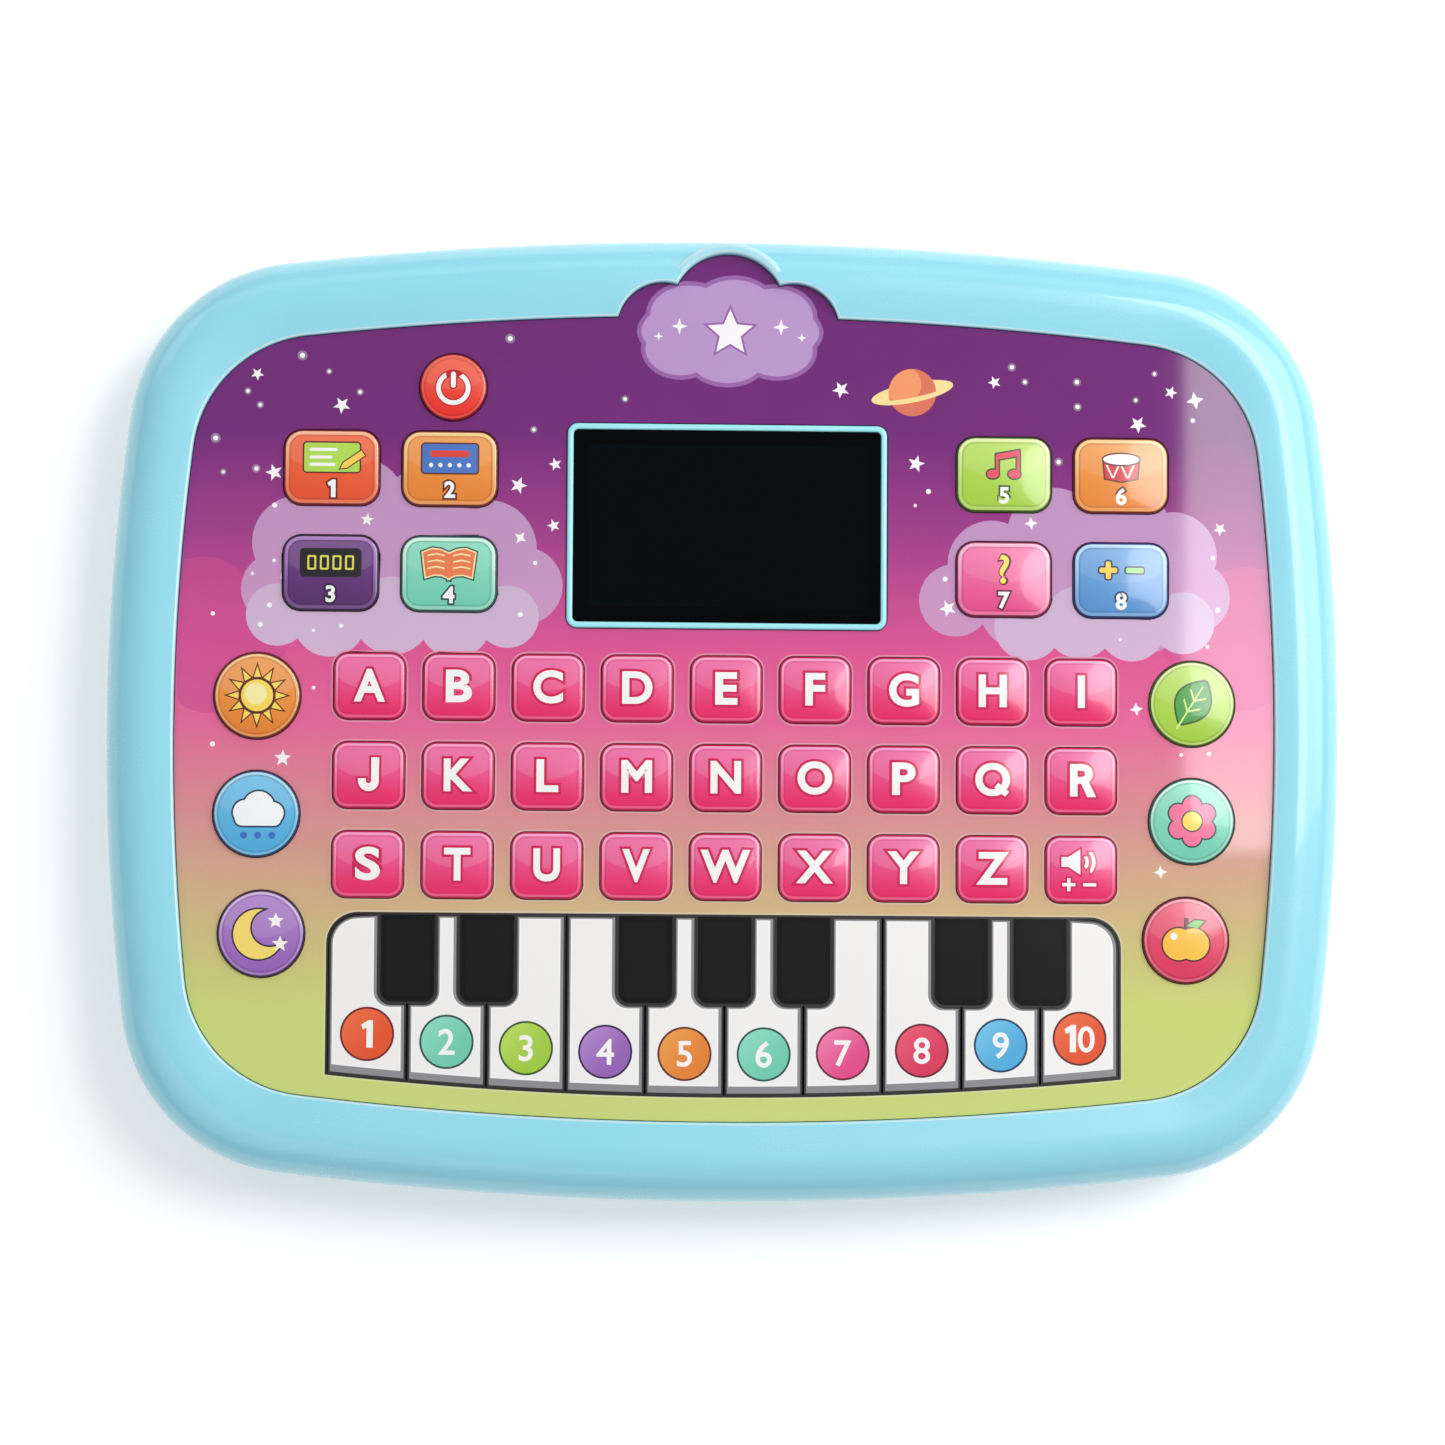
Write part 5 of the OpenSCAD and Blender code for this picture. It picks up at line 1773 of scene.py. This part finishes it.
class StageSettings(bpy.types.PropertyGroup):
    distance: bpy.props.FloatProperty(
        name="Distance", description="From the camera to the face",
        default=1.0, min=0.3, max=3.0, unit="LENGTH")
    lens: bpy.props.FloatProperty(
        name="Lens", description="Focal length in millimetres",
        default=130.15, min=35.0, max=300.0, unit="CAMERA")
    lean_x: bpy.props.FloatProperty(
        name="Lean left", description="How far the camera stands to the left",
        default=math.radians(2.1), subtype="ANGLE")
    lean_y: bpy.props.FloatProperty(
        name="Lean down", description="How far the camera stands below the middle",
        default=math.radians(4.78), subtype="ANGLE")
    roll: bpy.props.FloatProperty(
        name="Roll", description="Turn of the camera about its own axis",
        default=math.radians(0.336), subtype="ANGLE")
    room_light: bpy.props.FloatProperty(
        name="Room light", description="Strength of the even white light",
        default=0.36, min=0.0, max=5.0, subtype="FACTOR")
    softbox_power: bpy.props.FloatProperty(
        name="Softbox", description="Power of the largest softbox",
        default=10.0, min=0.0, max=500.0, unit="POWER")


GROUPS = {"housing": HousingSettings, "panel": PanelSettings, "keys": KeySettings, "stage": StageSettings}


class FrontHousing(bpy.types.Operator):
    """Builds the domed rim with its cloud notch, and the window frame"""
    bl_idname = "toy.front_housing"
    bl_label = "Front housing"

    def execute(self, context):
        front_piece()
        window_piece()
        return {"FINISHED"}


class BackHousing(bpy.types.Operator):
    """Builds the tray with its grille, screw wells, battery bay and feet"""
    bl_idname = "toy.back_housing"
    bl_label = "Back housing"

    def execute(self, context):
        back_piece()
        return {"FINISHED"}


class FacePanel(bpy.types.Operator):
    """Builds the panel with its printed sky, badge and black piano keys"""
    bl_idname = "toy.face_panel"
    bl_label = "Face panel"

    def execute(self, context):
        panel_piece()
        return {"FINISHED"}


class LetterKeys(bpy.types.Operator):
    """Builds the twenty-six letter keys and the volume key"""
    bl_idname = "toy.letter_keys"
    bl_label = "Letter keys"

    def execute(self, context):
        for letter in "abcdefghijklmnopqrstuvwxyz":
            letter_piece(letter)
        volume_piece()
        return {"FINISHED"}


class ModeKeys(bpy.types.Operator):
    """Builds the eight mode keys beside the window"""
    bl_idname = "toy.mode_keys"
    bl_label = "Mode keys"

    def execute(self, context):
        for index, name in enumerate(MODES):
            mode_piece(index, name)
        return {"FINISHED"}


class PictureKeys(bpy.types.Operator):
    """Builds the six round picture keys"""
    bl_idname = "toy.picture_keys"
    bl_label = "Picture keys"

    def execute(self, context):
        for name in PICTURES:
            picture_piece(name)
        return {"FINISHED"}


class PowerKey(bpy.types.Operator):
    """Builds the round power key"""
    bl_idname = "toy.power_key"
    bl_label = "Power key"

    def execute(self, context):
        power_piece()
        return {"FINISHED"}


class PianoKeys(bpy.types.Operator):
    """Builds the ten white piano keys with their numbered discs"""
    bl_idname = "toy.piano_keys"
    bl_label = "Piano keys"

    def execute(self, context):
        for index in range(len(DISCS)):
            piano_piece(index)
        return {"FINISHED"}


class BatteryDoor(bpy.types.Operator):
    """Builds the battery door with its hooks and finger grip"""
    bl_idname = "toy.battery_door"
    bl_label = "Battery door"

    def execute(self, context):
        door_piece()
        return {"FINISHED"}


class Screws(bpy.types.Operator):
    """Sets the screw heads in the case's wells and in the door"""
    bl_idname = "toy.screws"
    bl_label = "Screws"

    def execute(self, context):
        screws_pieces()
        return {"FINISHED"}


class Cells(bpy.types.Operator):
    """Builds the three cells of the battery bay"""
    bl_idname = "toy.cells"
    bl_label = "Cells"

    def execute(self, context):
        cells_piece()
        return {"FINISHED"}


class Speaker(bpy.types.Operator):
    """Builds the loudspeaker behind the grille"""
    bl_idname = "toy.speaker"
    bl_label = "Speaker"

    def execute(self, context):
        speaker_piece()
        return {"FINISHED"}


class KeptParts(bpy.types.Operator):
    """Gives the window and the circuit board, which stay as the frame has them, their finish"""
    bl_idname = "toy.kept_parts"
    bl_label = "Kept parts"

    def execute(self, context):
        kept_nodes()
        return {"FINISHED"}


class Stage(bpy.types.Operator):
    """Adds the table, the lights and the camera"""
    bl_idname = "toy.stage"
    bl_label = "Stage"

    def execute(self, context):
        stage_set(choices("stage"))
        return {"FINISHED"}


OPERATORS = [FrontHousing, BackHousing, FacePanel, LetterKeys, ModeKeys, PictureKeys, PowerKey, PianoKeys,
             BatteryDoor, Screws, Cells, Speaker, KeptParts, Stage]


class ToyPanel(bpy.types.Panel):
    """A button for every piece, and the sizes and colours they use"""
    bl_idname = "TOY_PT_panel"
    bl_label = "Toy"
    bl_space_type = "VIEW_3D"
    bl_region_type = "UI"
    bl_category = "Toy"

    def draw(self, context):
        for made in OPERATORS:
            self.layout.operator(made.bl_idname)
        for group, kind in GROUPS.items():
            box = self.layout.box()
            for name in kind.__annotations__:
                box.prop(choices(group), name)


CLASSES = [*GROUPS.values(), *OPERATORS, ToyPanel]


def register():
    for made in CLASSES:
        bpy.utils.register_class(made)
    for group, kind in GROUPS.items():
        setattr(bpy.types.Scene, "toy_" + group, bpy.props.PointerProperty(type=kind))


def unregister():
    for group in GROUPS:
        delattr(bpy.types.Scene, "toy_" + group)
    for made in reversed(CLASSES):
        bpy.utils.unregister_class(made)


def main():
    register()
    bpy.ops.toy.front_housing()
    bpy.ops.toy.back_housing()
    bpy.ops.toy.face_panel()
    bpy.ops.toy.letter_keys()
    bpy.ops.toy.mode_keys()
    bpy.ops.toy.picture_keys()
    bpy.ops.toy.power_key()
    bpy.ops.toy.piano_keys()
    bpy.ops.toy.battery_door()
    bpy.ops.toy.screws()
    bpy.ops.toy.cells()
    bpy.ops.toy.speaker()
    bpy.ops.toy.kept_parts()
    bpy.ops.toy.stage()


if __name__ == "__main__":
    main()
